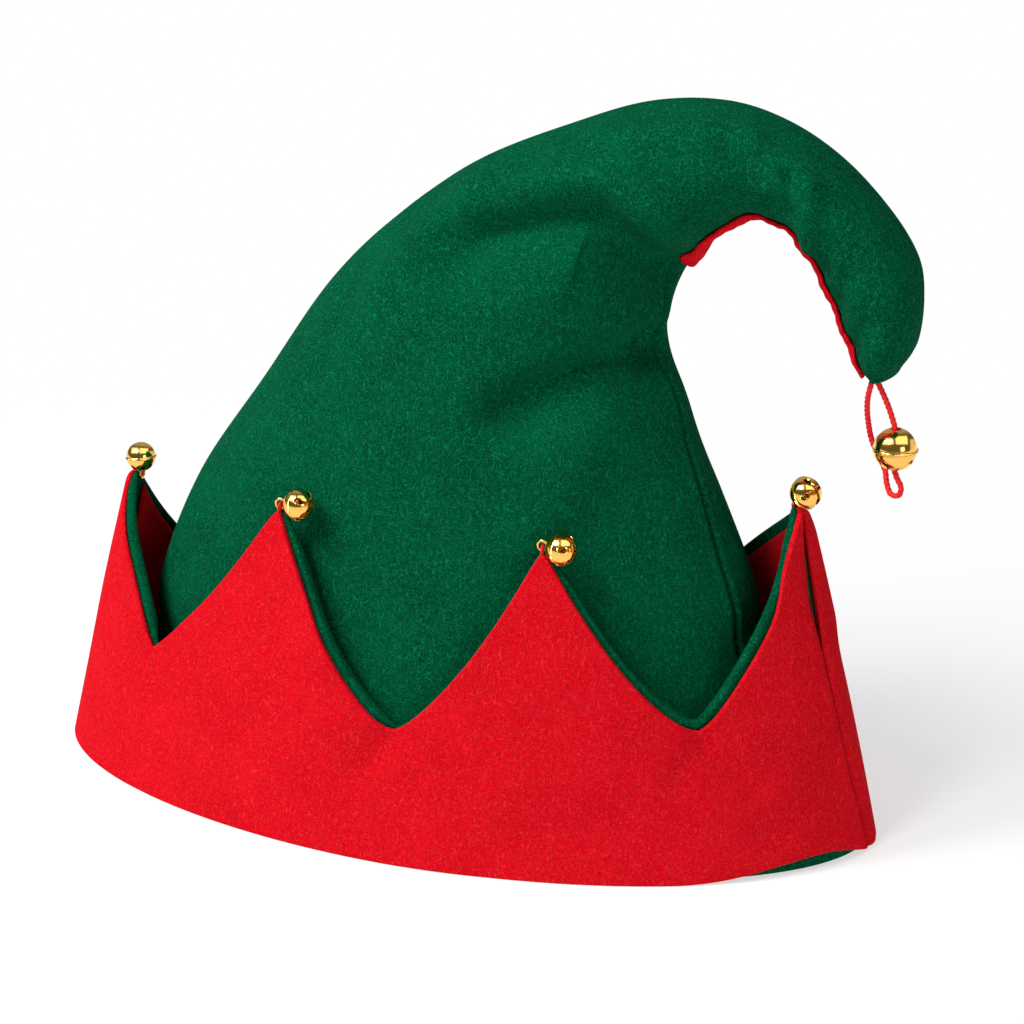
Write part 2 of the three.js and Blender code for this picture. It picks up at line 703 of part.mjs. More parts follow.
const pendant = new THREE.Group();
const bigBell = mesh('peak_bell', peakBell(), brass);
bigBell.rotation.set(Math.PI, 0, PEAK_BELL_TURN);
const bigBall = mesh('peak_bell_ball', ball(PEAK_BELL.ball), steel);
bigBall.position.set(0, PEAK_BALL_PLACE.away, PEAK_BALL_PLACE.up);
pendant.add(bigBell, bigBall, mesh('hang_cord', hangCord(), redCord));
pendant.position.set(PEAK_BELL_PLACE.x, 0, PEAK_BELL_PLACE.z);

// The hat stands with the middle of its felt and cuff bells over the origin.

const standing = new THREE.Group();
standing.add(felt, bells);
const box = new THREE.Box3().setFromObject(standing, true);
const middle = box.getCenter(new THREE.Vector3());
standing.add(pendant);
standing.position.set(-middle.x, -middle.y, -box.min.z);

const elfHat = new THREE.Group();
elfHat.add(standing);

export default elfHat;
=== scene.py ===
# %% [markdown]
# # An elf hat in felt
# The hat is a green felt bag that curls over into a hook, with a turned-up red cuff cut into points,
# a brass bell sewn to each point and a larger bell hanging from the peak on a cord.
# A imported CAD model gives the frame: every piece made here stands where its solid stands, in metres.
# We load that frame first.

# %% Load the frame
import json
import math

import bpy
import numpy as np
from mathutils import Matrix, Vector

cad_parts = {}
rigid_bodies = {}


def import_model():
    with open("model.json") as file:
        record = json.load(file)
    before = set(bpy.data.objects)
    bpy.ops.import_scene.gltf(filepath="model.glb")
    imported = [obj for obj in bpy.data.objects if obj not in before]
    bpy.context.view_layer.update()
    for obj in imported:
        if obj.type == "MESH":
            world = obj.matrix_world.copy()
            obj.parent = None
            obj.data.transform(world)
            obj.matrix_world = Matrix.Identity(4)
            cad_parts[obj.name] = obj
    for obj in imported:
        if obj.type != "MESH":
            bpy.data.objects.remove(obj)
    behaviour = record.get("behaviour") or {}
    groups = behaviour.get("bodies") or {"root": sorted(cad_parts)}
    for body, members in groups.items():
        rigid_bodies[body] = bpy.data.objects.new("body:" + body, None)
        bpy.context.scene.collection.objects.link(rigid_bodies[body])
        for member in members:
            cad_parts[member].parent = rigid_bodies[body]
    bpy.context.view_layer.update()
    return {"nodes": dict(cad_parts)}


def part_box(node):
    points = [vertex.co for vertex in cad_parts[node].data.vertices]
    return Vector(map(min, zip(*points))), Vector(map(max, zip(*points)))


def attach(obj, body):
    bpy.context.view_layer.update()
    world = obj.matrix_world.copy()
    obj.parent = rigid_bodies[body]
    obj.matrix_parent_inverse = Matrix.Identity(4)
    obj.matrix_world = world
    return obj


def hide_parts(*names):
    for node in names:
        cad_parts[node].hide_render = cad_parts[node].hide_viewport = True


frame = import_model()
print("solids in the frame:", len(frame["nodes"]))

# %% [markdown]
# The hat's sizes are easier to think about in millimetres, from the middle of the oval that the hem
# makes. The frame's origin is the middle of the whole box, a little to one side of that, so one number,
# read from the cuff's own box, moves everything across. Every mesh passes through one function that
# does this and divides by a thousand.

# %% Millimetres to the frame
HEM_LENGTH = 250.0
HEM_DEPTH = 113.4
HAT_HEIGHT = 206.0
SHIFT = 1000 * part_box("cuff_front")[0][0] + HEM_LENGTH / 2


def to_frame(points):
    """Hat millimetres to frame metres."""
    return (np.asarray(points, float) + (SHIFT, 0, 0)) / 1000


print(f"the hem's middle is {SHIFT:.2f} mm from the frame's")

# %% [markdown]
# The photograph was taken from a little above and a little to the right, with a long lens. A lens is
# set by its focal length on a 36 mm wide sensor, and the camera is turned so that it looks from its
# place at a point inside the hat.

# %% The camera
AZIMUTH = math.radians(18.56)
ELEVATION = math.radians(21.47)
back = Vector((
    math.sin(AZIMUTH) * math.cos(ELEVATION),
    -math.cos(AZIMUTH) * math.cos(ELEVATION),
    math.sin(ELEVATION),
))
camera = bpy.data.objects.new("camera", bpy.data.cameras.new("camera"))
bpy.context.collection.objects.link(camera)
camera.location = Vector((0.01525, 0, 0.086)) + 0.6639 * back
camera.rotation_euler = (-back).to_track_quat("-Z", "Y").to_euler()
camera.data.sensor_width = 36
camera.data.lens = 82.76
bpy.context.scene.camera = camera
print("camera at", [round(value, 3) for value in camera.location])

# %% [markdown]
# Most of the hat is a grid of points: rows going one way and columns the other. One function joins
# neighbouring points of a grid into four-sided faces, and another turns points and faces into an object.
# A grid can close on itself in either direction, as a ring does.


# %% Grids and objects
def grid_faces(rows, columns, close_rows=False, close_columns=False):
    """Four-sided faces of a grid whose points are numbered row by row."""
    row = np.arange(rows if close_rows else rows - 1)
    column = np.arange(columns if close_columns else columns - 1)
    r, c = np.meshgrid(row, column, indexing="ij")
    next_r = (r + 1) % rows
    next_c = (c + 1) % columns
    corners = (r * columns + c, r * columns + next_c, next_r * columns + next_c, next_r * columns + c)
    return np.stack(corners, axis=-1).reshape(-1, 4)


def ring_faces(rings, around, closed=False):
    """Faces of a row of rings. Unless the last ring meets the first, each end gets a face of its own."""
    faces = [tuple(face) for face in grid_faces(rings, around, closed, True)]
    if not closed:
        faces.append(tuple(range(around))[::-1])
        faces.append(tuple(range((rings - 1) * around, rings * around)))
    return faces


def make_piece(name, points, faces, slot, node=None):
    """An object from points in hat millimetres. It rides on the hat and stands for a CAD node."""
    mesh = bpy.data.meshes.new(name)
    mesh.from_pydata(to_frame(points).tolist(), [], [tuple(map(int, face)) for face in faces])
    mesh.validate()
    mesh.update()
    mesh.shade_smooth()
    piece = bpy.data.objects.new(name, mesh)
    bpy.context.collection.objects.link(piece)
    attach(piece, "root")
    if node:
        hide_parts(node)
    print(f"{name}: {len(mesh.vertices)} points, {len(mesh.polygons)} faces")
    return piece


def several(parts):
    """Joins lists of (points, faces) into one."""
    points = []
    faces = []
    count = 0
    for part_points, part_faces in parts:
        points.append(np.asarray(part_points, float))
        faces.extend(tuple(int(i) + count for i in face) for face in part_faces)
        count += len(part_points)
    return np.concatenate(points), faces


# %% [markdown]
# A cord is a thin tube swept along a smooth curve through a few named points, the same ones that the
# CAD uses. A uniform Catmull-Rom curve passes through every point and takes its direction at each from
# the two neighbours.


# %% Smooth curves and tubes
def smooth_path(points, parts):
    """Points of a Catmull-Rom curve at the given shares of its rows, 0 to 1."""
    points = np.asarray(points, float)
    ends = (2 * points[0] - points[1], 2 * points[-1] - points[-2])
    held = np.vstack([ends[0], points, ends[1]])
    place = np.clip(np.asarray(parts, float), 0, 1) * (len(points) - 1)
    first = np.minimum(place.astype(int), len(points) - 2)
    t = (place - first)[..., None]
    a, b, c, d = (held[first + k] for k in range(4))
    slope_b = (c - a) / 2
    slope_c = (d - b) / 2
    return (
        (2 * t**3 - 3 * t**2 + 1) * b
        + (t**3 - 2 * t**2 + t) * slope_b
        + (3 * t**2 - 2 * t**3) * c
        + (t**3 - t**2) * slope_c
    )


def unit(vectors):
    return vectors / np.maximum(np.linalg.norm(vectors, axis=-1, keepdims=True), 1e-12)


def tube(path, radius, sides=12, lobes=0, pitch=3.0, relief=0.2, closed=False):
    """A tube round a path. With lobes, its section turns like the strands of a twisted cord."""
    path = np.asarray(path, float)
    if closed:
        tangent = unit(np.roll(path, -1, axis=0) - np.roll(path, 1, axis=0))
    else:
        tangent = unit(np.gradient(path, axis=0))
    side = np.cross(tangent[0], (0, 1, 0.01))
    sides_of = [unit(side)]
    for direction in tangent[1:]:
        carried = sides_of[-1] - direction * np.dot(sides_of[-1], direction)
        sides_of.append(unit(carried))
    side = np.array(sides_of)
    up = np.cross(tangent, side)
    run = np.concatenate([[0], np.cumsum(np.linalg.norm(np.diff(path, axis=0), axis=1))])
    angle = 2 * np.pi * np.arange(sides) / sides
    reach = np.full((len(path), sides), radius, float)
    if lobes:
        strand = np.abs(np.cos(lobes * (angle[None, :] - 2 * np.pi * run[:, None] / pitch) / 2))
        reach *= 1 - relief * (1 - strand) ** 1.5
    ring = side[:, None] * np.cos(angle)[None, :, None] + up[:, None] * np.sin(angle)[None, :, None]
    points = (path[:, None] + ring * reach[..., None]).reshape(-1, 3)
    return points, ring_faces(len(path), sides, closed)


# %% [markdown]
# The hanging cord is a thin twisted one. It comes out of the peak, goes down through the larger bell,
# makes a small loop under it and goes back up behind the bell. Its strands are modelled as a section
# with rounded lobes that turns as it goes along.

# %% The hanging cord
PEAK_BELL_RADIUS = 5.8
PEAK_BELL_PLACE = np.array((123.5, 0, 117.2))
CORD_RADIUS = 0.8
CORD_ROUTE = [
    # millimetres right, away and up from the bell's middle
    (-6.3, -0.4, 19.4), (-4, 0, 14.8), (-2.4, 0, 11.4), (-1.1, 0, 8), (-0.2, 0, 4.8), (0, 0, 0),
    (0, 0, -4.8), (0.9, -0.5, -7.6), (2.3, -0.9, -10.2), (1.7, -0.2, -12.8), (-0.6, 0.9, -13),
    (-2, 2.2, -10.6),
    (-2.9, 3.9, -7.8), (-4.8, 5.4, -5), (-6.5, 5.6, -1.9), (-7.5, 5, 1.2), (-8.1, 3.9, 5), (-8.4, 2.4, 9.4),
    (-8.1, 1.1, 13.8), (-6.9, 0.5, 19.2),
]
cord_path = smooth_path(PEAK_BELL_PLACE + np.array(CORD_ROUTE), np.linspace(0, 1, 300))
cord_points, cord_faces = tube(cord_path, CORD_RADIUS, sides=20, lobes=3, pitch=4.2, relief=0.3)
hang_cord = make_piece("hanging_cord", cord_points, cord_faces, "red_cord", "hang_cord")

# %% [markdown]
# The hem is a flattened oval. Places round it are given as a share of its length, anticlockwise from
# the right-hand end, so that 0.75 is the middle of the front. Its points are looked up in a table of
# distances along it, which keeps columns of felt evenly spaced however the oval bends.

# %% The hem's outline
HEM_SQUARENESS = 1.88


def signed_power(value, power):
    return np.sign(value) * np.abs(value) ** power


def oval(angle):
    power = 2 / HEM_SQUARENESS
    x = HEM_LENGTH / 2 * signed_power(np.cos(angle), power)
    y = HEM_DEPTH / 2 * signed_power(np.sin(angle), power)
    return np.stack([x, y], axis=-1)


angles = np.linspace(0, 2 * np.pi, 2881)
steps = np.linalg.norm(np.diff(oval(angles), axis=0), axis=1)
distance = np.concatenate([[0], np.cumsum(steps)])
HEM_ROUND = distance[-1]


def hem_at(share):
    """The hem's point and its outward direction at a share of the way round."""
    angle = np.interp(np.asarray(share) % 1, distance / HEM_ROUND, angles)
    ahead = unit(oval(angle + 1e-3) - oval(angle - 1e-3))
    return oval(angle), np.stack([ahead[..., 1], -ahead[..., 0]], axis=-1)


print(f"the hem goes round {HEM_ROUND:.0f} mm")

# %% [markdown]
# The cuff leans in as it goes up and swells a little between its valleys. One function gives any point
# of it from a place round the hem, a height and a depth in from the outer face, so that the red
# outside, the green lining and the red facing at the back are plies of one shape. Felt never hangs quite
# flat, so the same function adds a few soft waves, and the puckers that start at the valleys, where
# the plies are sewn and can't spread.

# %% A point of the cuff
LEAN = 0.0024
RIGHT_SPLAY = 0.16
LEFT_SPLAY = 0.08
CUFF_SWELL = 0.7
CUFF_TOP = 97.6
TEETH = 6
CUFF_WAVES = [
    # how many round the hem, how many up the cuff, phase, depth
    (3, 0.6, 0.4, 0.35),
    (7, -0.8, 2.1, 0.3),
    (11, 1.1, 4.0, 0.22),
    (17, -1.4, 5.2, 0.14),
]


def cuff_waves(place, height):
    """Soft waves of the hanging felt, none at the hem."""
    up = height / CUFF_TOP
    total = np.zeros(np.shape(place))
    for across, upward, phase, depth in CUFF_WAVES:
        total = total + depth * np.cos(2 * np.pi * (across * place + upward * up) + phase)
    return total * np.clip(up * 1.6, 0, 1)


CUFF_DENTS = [
    # from (share, height) to (share, height), width and depth in millimetres: below zero stands out
    ((0.748, 36), (0.728, 22), 4.5, 1.3),
    ((0.748, 36), (0.765, 27), 3.5, 0.9),
    ((0.715, 40), (0.7, 60), 7, -1.0),
    ((0.909, 40), (0.932, 26), 4.5, 1.1),
    ((0.909, 40), (0.892, 29), 4.0, 0.9),
    ((0.586, 41), (0.603, 29), 4.5, 1.1),
    ((0.6, 12), (0.66, 20), 7, 0.7),
    ((0.8, 10), (0.86, 16), 8, 0.8),
    ((0.93, 12), (0.975, 24), 6, 0.9),
    ((0.62, 62), (0.655, 76), 6, 0.7),
    ((0.012, 66), (0.012, 88), 7, -1.3),
    ((0.12, 42), (0.135, 28), 5, 1.1),
    ((0.265, 42), (0.25, 28), 5, 1.1),
    ((0.42, 42), (0.435, 28), 5, 1.1),
]


def cuff_dents(place, height):
    """How far the cuff's puckers and hollows press all its plies in."""
    total = np.zeros(np.shape(place))
    for (share, low), (share_end, high), width, depth in CUFF_DENTS:
        line = np.array(((share_end - share) * HEM_ROUND, high - low))
        round_the_hem = ((place - share + 0.5) % 1 - 0.5) * HEM_ROUND
        off = np.stack([round_the_hem, height - low], axis=-1)
        part = np.clip(off @ line / (line @ line), 0, 1)
        gap = np.linalg.norm(off - part[..., None] * line, axis=-1)
        total = total + depth * np.exp(-((gap / width) ** 2))
    return total


def on_cuff(share, height, inset):
    share, height, inset = np.broadcast_arrays(share, height, inset)
    place = share % 1
    pulse = np.cos(2 * np.pi * TEETH * place)
    endwise = np.cos(2 * np.pi * place)
    splay = np.where(endwise > 0, RIGHT_SPLAY, LEFT_SPLAY) * endwise**6
    belly = np.sin(np.pi * np.clip(height / CUFF_TOP, 0, 1))
    point, outward = hem_at(place)
    shrink = 1 - LEAN * (1 - splay) * height
    stands_out = CUFF_SWELL * pulse * belly + cuff_waves(place, height) - cuff_dents(place, height) - inset
    level = point * shrink[..., None] + outward * stands_out[..., None]
    return np.concatenate([level, height[..., None]], axis=-1)


# %% [markdown]
# The upper edge is a row of points and valleys. Each stretch between them climbs with its own power:
# more than one makes a leaf-like point, less than one makes a full one. The lining stands past the red
# edge by its own amount on each stretch, where the photograph shows a rolled green border.

# %% The cuff's edge
CUFF_EDGE = np.array([
    # share, height, curl, roll
    (0.0, 97.6, 0.6, 1.2),
    (0.12, 44.0, 1.3, 0.8),
    (0.19, 92.0, 1.3, 0.8),
    (0.265, 44.0, 1.3, 0.8),
    (0.345, 92.0, 1.3, 0.8),
    (0.42, 44.0, 1.3, 0.8),
    (0.5, 84.8, 0.8, 2.2),
    (0.586, 43.0, 1.2, 0.0),
    (0.667, 94.0, 1.45, 2.2),
    (0.748, 37.8, 1.25, 0.0),
    (0.8355, 91.4, 1.5, 2.0),
    (0.909, 42.4, 1.15, 2.2),
    (1.0, 97.6, 0.6, 1.2),
])
POINT_ROUNDING = 0.035
ROLL_FADE = 5


def edge_at(share):
    """The red edge's height, how far the lining stands past it, and the share of a stretch that is
    left to the next point."""
    place = np.asarray(share, float) % 1
    row = np.clip(np.searchsorted(CUFF_EDGE[:, 0], place, side="right") - 1, 0, len(CUFF_EDGE) - 2)
    before, after = CUFF_EDGE[row], CUFF_EDGE[row + 1]
    climbing = after[..., 1] > before[..., 1]
    passed = (place - before[..., 0]) / (after[..., 0] - before[..., 0])
    to_point = np.where(climbing, 1 - passed, passed)
    valley = np.minimum(before[..., 1], after[..., 1])
    point = np.maximum(before[..., 1], after[..., 1])
    rounded = np.hypot(to_point, POINT_ROUNDING) - POINT_ROUNDING
    whole = math.hypot(1, POINT_ROUNDING) - POINT_ROUNDING
    climb = np.clip(1 - rounded / whole, 0, 1) ** before[..., 2]
    roll = before[..., 3] * np.minimum(1, ROLL_FADE * to_point)
    return valley + (point - valley) * climb, roll, to_point


def lining_height_at(share):
    step = 1 / HEM_ROUND
    height, roll, _ = edge_at(share)
    slope = (edge_at(share + step)[0] - edge_at(share - step)[0]) / 2
    return height + roll * np.hypot(1, slope)


def columns_between(first, last, per_stretch):
    """Places for columns of felt, closer together near the points."""
    places = []
    for before, after in zip(CUFF_EDGE[:-1], CUFF_EDGE[1:]):
        part = np.arange(per_stretch) / per_stretch
        eased = part**1.4 if before[1] > after[1] else 1 - (1 - part) ** 1.4
        places.append(before[0] + eased * (after[0] - before[0]))
    places = np.concatenate(places)
    inside = places[(places > first + 1e-4) & (places < last - 1e-4)]
    return np.concatenate([[first], inside, [last]])


print("cuff edge at the front's two middle points:", edge_at(np.array((0.667, 0.8355)))[0].round(1))

# %% [markdown]
# A ply of felt is a sheet with a thickness, so it could be a plane with a Solidify modifier. Here its
# section is written out instead: up the outer face, over a half-round edge and down the inner face.
# That gives the cut edges their soft rounded look, and lets the lining's edge swell into a bead.

# %% A ply of felt
CUFF_FELT = 1.5
ROWS_UP = 46
BEAD_HEIGHT = 2.2
BEAD_FLATTENING = 0.4
BESIDE_CUFF_SEAM = np.array((0.35, 0.7, 1.1, 1.6, 2.2, 3, 4, 5.2))


def section(low, high, inset, thick, bead):
    """One upright section of a ply: (height, depth in) round it, for each column."""
    half = thick / 2
    up = np.linspace(0, 1, ROWS_UP)
    up = 1 - (1 - up) ** 1.25
    arc = np.linspace(0, np.pi, 9)[1:-1]
    top = high - half
    bottom = low + half
    span = (top - bottom)[:, None]
    outer_h = bottom[:, None] + span * up
    swollen = bead[:, None] * np.exp(-(((top[:, None] - outer_h) / BEAD_HEIGHT) ** 2))
    over_h = top[:, None] + (half + bead - BEAD_FLATTENING * bead)[:, None] * np.sin(arc)
    over_d = half - (half + bead)[:, None] * np.cos(arc)
    under_h = bottom[:, None] - half * np.sin(arc)[None, :]
    under_d = half + half * np.cos(arc)[None, :] + 0 * under_h
    heights = np.concatenate([outer_h, over_h, outer_h[:, ::-1], under_h], axis=1)
    depths = np.concatenate([-swollen, over_d, thick + swollen[:, ::-1], under_d], axis=1)
    return heights, depths + inset


def ply(first, last, inset, low, high, sideways=None, bead=None, turn=None, closed=False):
    """The points and faces of a ply between two places round the hem."""
    places = columns_between(first, last, 26)
    if turn:
        beside = BESIDE_CUFF_SEAM / HEM_ROUND
        places = np.unique(np.concatenate([places, first + beside, last - beside]).round(7))
    if closed:
        places = places[:-1]
    beads = np.zeros_like(places) if bead is None else bead(places)
    heights, depths = section(low(places), high(places), inset, CUFF_FELT, beads)
    shares = np.repeat(places[:, None], heights.shape[1], axis=1)
    if turn:
        fading = np.clip(1.2 - heights / CUFF_TOP, 0, 1)
        depths = depths + turn(shares) * fading * (1 - (depths - inset) / CUFF_FELT)
    if sideways is not None:
        shares = shares + sideways(shares, heights)
    points = on_cuff(shares, heights, depths)
    return points.reshape(-1, 3), ring_faces(*heights.shape, closed)


# %% [markdown]
# The red outside is cut in two halves, sewn at the ends. The right-hand seam is open near its point
# and shows the green lining, so both halves draw back there like the sides of a lens. Below it the seam
# wanders a little to the front. The front's hem lifts near the right-hand end. Along a seam the felt
# turns in, which makes a groove.

# %% The cuff's red halves
SEAM_GAP = 0.3 / HEM_ROUND
SLIT = dict(low=60, high=97, half=2.3)
SEAM_SHIFT = dict(hem=4.5, more=10)
HEM_LIFT = dict(first=0.885, height=4.4, skew=1.6, sharpness=1.2)
TURN_IN = dict(depth=0.9, width=1.1, puff=0.25, puff_place=3, puff_width=1.5)


def smoothstep(value, low, high):
    part = np.clip((value - low) / (high - low), 0, 1)
    return part * part * (3 - 2 * part)


def slit_at(height):
    """Half the open seam's width, as a share of the hem."""
    part = np.clip((height - SLIT["low"]) / (SLIT["high"] - SLIT["low"]), 0, 1)
    return SLIT["half"] * np.sin(np.pi * part) / HEM_ROUND


def seam_shift_at(height):
    """How far to the front the seam on the right is, as a share of the hem."""
    up = np.clip(height / CUFF_TOP, 0, 1)
    return (SEAM_SHIFT["hem"] + SEAM_SHIFT["more"] * up) * (1 - up**3) / HEM_ROUND


def hem_lift_at(share):
    part = np.clip((share - HEM_LIFT["first"]) / (1 - HEM_LIFT["first"]), 0, 1)
    return HEM_LIFT["height"] * np.sin(np.pi * part ** HEM_LIFT["skew"]) ** HEM_LIFT["sharpness"]


def turned_in(gap):
    """How far the felt turns in at a distance from its seam, both in millimetres."""
    beside = TURN_IN["puff"] * np.exp(-(((gap - TURN_IN["puff_place"]) / TURN_IN["puff_width"]) ** 2))
    return TURN_IN["depth"] * np.exp(-((gap / TURN_IN["width"]) ** 2)) - beside


def red_edge_at(share):
    return edge_at(share)[0]


def front_sideways(share, height):
    return -(slit_at(height) + seam_shift_at(height)) * smoothstep(share, 0.955, 1)


def back_sideways(share, height):
    return (slit_at(height) - seam_shift_at(height)) * (1 - smoothstep(share, 0, 0.04))


front_points, front_faces = ply(
    0.5 + SEAM_GAP / 2, 1 - SEAM_GAP / 2, 0,
    low=hem_lift_at,
    high=red_edge_at,
    sideways=front_sideways,
    turn=lambda share: turned_in(np.minimum(share - 0.5, 1 - share) * HEM_ROUND),
)
cuff_front = make_piece("cuff_front_felt", front_points, front_faces, "red_felt", "cuff_front")

back_points, back_faces = ply(
    SEAM_GAP / 2, 0.5 - SEAM_GAP / 2, 0,
    low=lambda share: 0 * share,
    high=red_edge_at,
    sideways=back_sideways,
    turn=lambda share: turned_in(np.minimum(share, 0.5 - share) * HEM_ROUND),
)
cuff_back = make_piece("cuff_back_felt", back_points, back_faces, "red_felt", "cuff_back")

# %% [markdown]
# The green lining goes all the way round behind the red. Where it rolls over the edge it is thicker
# than a single ply, because the cut edge is turned over, so its top swells into a bead. Another red
# ply faces the inside of the cuff's back half.

# %% The lining and the facing
PLY_STEP = CUFF_FELT + 0.3
lining_points, lining_faces = ply(
    0, 1, PLY_STEP,
    low=lambda share: 0.6 + 0 * share,
    high=lining_height_at,
    bead=lambda share: 0.28 * edge_at(share)[1],
    closed=True,
)
cuff_lining = make_piece("cuff_lining_felt", lining_points, lining_faces, "green_felt", "cuff_lining")

facing_points, facing_faces = ply(
    0.006, 0.494, 2 * PLY_STEP,
    low=lambda share: 30 + 0 * share,
    high=lambda share: edge_at(share)[0] - 2.5,
)
back_facing = make_piece("back_facing_felt", facing_points, facing_faces, "red_felt", "back_facing")

# %% [markdown]
# The crown is lofted through sections from the hem to the peak. Each section spans from an outer rail,
# which runs up the left and over the curl, to an inner rail, which runs up the right and under the
# hook. Two rails hold the silhouette exactly, and a depth makes each section a rounded loop. Felt this
# thick hardly stretches, so its folds are few, broad and rounded.

# %% The crown's sections
CROWN_INSET = 3 * PLY_STEP + 0.6
CROWN_SECTIONS = [
    # outer x, outer z, inner x, inner z, depth, as shares of the hem's halves and the height
    (-1 + CROWN_INSET / (HEM_LENGTH / 2), 0, 1 - CROWN_INSET / (HEM_LENGTH / 2), 0,
     1 - CROWN_INSET / (HEM_DEPTH / 2)),
    (-0.772, 0.145, 0.74, 0.256, 0.79),
    (-0.739, 0.272, 0.701, 0.349, 0.72),
    (-0.63, 0.426, 0.615, 0.478, 0.635),
    (-0.455, 0.579, 0.542, 0.581, 0.58),
    (-0.284, 0.726, 0.485, 0.678, 0.53),
    (-0.115, 0.828, 0.492, 0.718, 0.49),
    (0.065, 0.905, 0.519, 0.765, 0.46),
    (0.27, 0.96, 0.542, 0.799, 0.415),
    (0.437, 0.994, 0.583, 0.83, 0.37),
    (0.598, 1.0, 0.646, 0.857, 0.33),
    (0.732, 0.977, 0.724, 0.858, 0.3),
    (0.847, 0.935, 0.784, 0.829, 0.28),
    (0.949, 0.875, 0.828, 0.779, 0.27),
    (1.01, 0.82, 0.861, 0.738, 0.255),
    (1.026, 0.768, 0.889, 0.701, 0.23),
    (1.02, 0.713, 0.912, 0.673, 0.175),
    (0.992, 0.68, 0.926, 0.661, 0.1),
]
LAST_ROW = len(CROWN_SECTIONS) - 1
table = np.array(CROWN_SECTIONS)
scale = np.array((HEM_LENGTH / 2, HEM_DEPTH / 2, HAT_HEIGHT))
outer_rail = table[:, (0, 4, 1)] * scale
inner_rail = table[:, (2, 4, 3)] * scale


def plain_crown(along, round_share):
    """The crown before its folds. along counts sections up from the hem, and round_share goes from
    the outer rail past the front."""
    along, round_share = np.broadcast_arrays(along, round_share)
    outer = smooth_path(outer_rail, along / LAST_ROW)
    inner = smooth_path(inner_rail, along / LAST_ROW)
    half_depth = outer[..., 1]
    angle = 2 * np.pi * round_share
    power = 2 / (HEM_SQUARENESS + (2.1 - HEM_SQUARENESS) * along / LAST_ROW)
    flat = np.array((1, 0, 1))
    middle = (outer + inner) / 2 * flat
    reach = (outer - inner) / 2 * flat
    point = middle + reach * signed_power(np.cos(angle), power)[..., None]
    point[..., 1] = -half_depth * signed_power(np.sin(angle), power)
    return point


def crown_normal(along, round_share):
    step = 0.02
    up = plain_crown(np.minimum(along + step, LAST_ROW), round_share)
    up = up - plain_crown(np.maximum(along - step, 0), round_share)
    turn = plain_crown(along, round_share + step / 4) - plain_crown(along, round_share - step / 4)
    return unit(np.cross(turn, up))


print("crown sections:", len(table))

# %% [markdown]
# Folds are pressed into the lofted shape along short chains of places. The further a point is from a
# chain, the less it moves, with a bell-shaped falloff, which reads as thick soft cloth. A cloth
# simulation could make folds too, but not in the places that the photograph shows. Small gathers beside
# the gusset, a groove along each seam and a few soft waves come on top.

# %% The crown's folds
CROWN_FOLDS = [
    # name, chain of (along, round), width, depth, lean: a depth below zero stands out
    ("big fold under the curl", [(6.45, 0.17), (7.15, 0.215), (7.7, 0.25), (7.55, 0.36), (7.3, 0.46)],
     7.5, 8.5, 0.5),
    ("lip over the big fold", [(7.75, 0.15), (8.6, 0.2), (8.8, 0.33)], 6, -2.6, 0),
    ("crease to the inner corner", [(4.3, 0.3), (4.85, 0.37), (5.08, 0.47)], 6.5, 5.6, 0.4),
    ("swell below the crease", [(3, 0.33), (4.1, 0.37)], 10, -2, 0),
    ("ridge over the shoulder", [(5.2, 0.14), (6.2, 0.12), (6.9, 0.1)], 6, -1.6, 0),
    ("hollow behind the ridge", [(5.2, 0.08), (6.4, 0.05)], 7, 1.2, 0),
    ("ridge along the top", [(8.4, 0.1), (9.6, 0.13), (10.5, 0.13)], 4.5, -1.6, 0),
    ("first dent before the hook", [(10.2, 0.15), (10.6, 0.2), (10.9, 0.33)], 4.4, 2.4, 0.2),
    ("second dent before the hook", [(11.35, 0.2), (11.45, 0.33)], 2.8, 2.2, 0.3),
    ("lip of the hook", [(11.7, 0.18), (12.05, 0.33), (12.1, 0.4)], 2.6, -1.4, 0),
    ("dent in the hook", [(12.5, 0.3), (12.7, 0.38)], 3, 1.3, 0.2),
    ("dent above the tip", [(13.2, 0.28), (13.45, 0.4)], 3.4, 1.7, 0.2),
    ("dent at the tip", [(14.5, 0.28), (15.1, 0.42)], 3.6, 1.6, 0.2),
    ("sag at the back", [(4, 0.72), (8, 0.66)], 14, 3, 0),
    ("crease at the back", [(5.4, 0.62), (6.8, 0.74), (7.2, 0.82)], 6, 2.4, 0.3),
]
GATHERS = dict(first=8, last=16, folds=7, depth=0.4, reach=0.22, fine=0.35, fine_folds=3.1, fine_reach=0.09)
CROWN_SEAM_LINE = np.array([(0, 0.452), (2.5, 0.457), (3.7, 0.47), (5.1, 0.5), (17, 0.5)])
CROWN_WAVES = [
    # wavelength across, along and up the hat in millimetres, phase, depth
    ((60, 45, 80), 0.3, 0.45),
    ((-38, 60, 52), 1.9, 0.35),
    ((27, -40, 33), 4.1, 0.25),
    ((-19, 25, -24), 2.7, 0.16),
]


def fold_depth(points):
    """How far the folds press in at each point. A lean above zero makes a fold steep on its upper side."""
    total = np.zeros(points.shape[:-1])
    for _, chain, width, depth, lean in CROWN_FOLDS:
        ends = np.array([plain_crown(along, share) for along, share in chain])
        above = np.array([plain_crown(along + 0.3, share) for along, share in chain])
        nearest = np.full(points.shape[:-1], np.inf)
        signed = np.zeros(points.shape[:-1])
        for start, end, up in zip(ends[:-1], ends[1:], above[:-1]):
            line = end - start
            part = np.clip((points - start) @ line / (line @ line), 0, 1)
            off = points - start - part[..., None] * line
            gap = np.linalg.norm(off, axis=-1)
            signed = np.where(gap < nearest, off @ unit(up - start), signed)
            nearest = np.minimum(nearest, gap)
        reach = width * (1 - lean * np.tanh(signed / width))
        total += depth * np.exp(-((nearest / reach) ** 2))
    return total


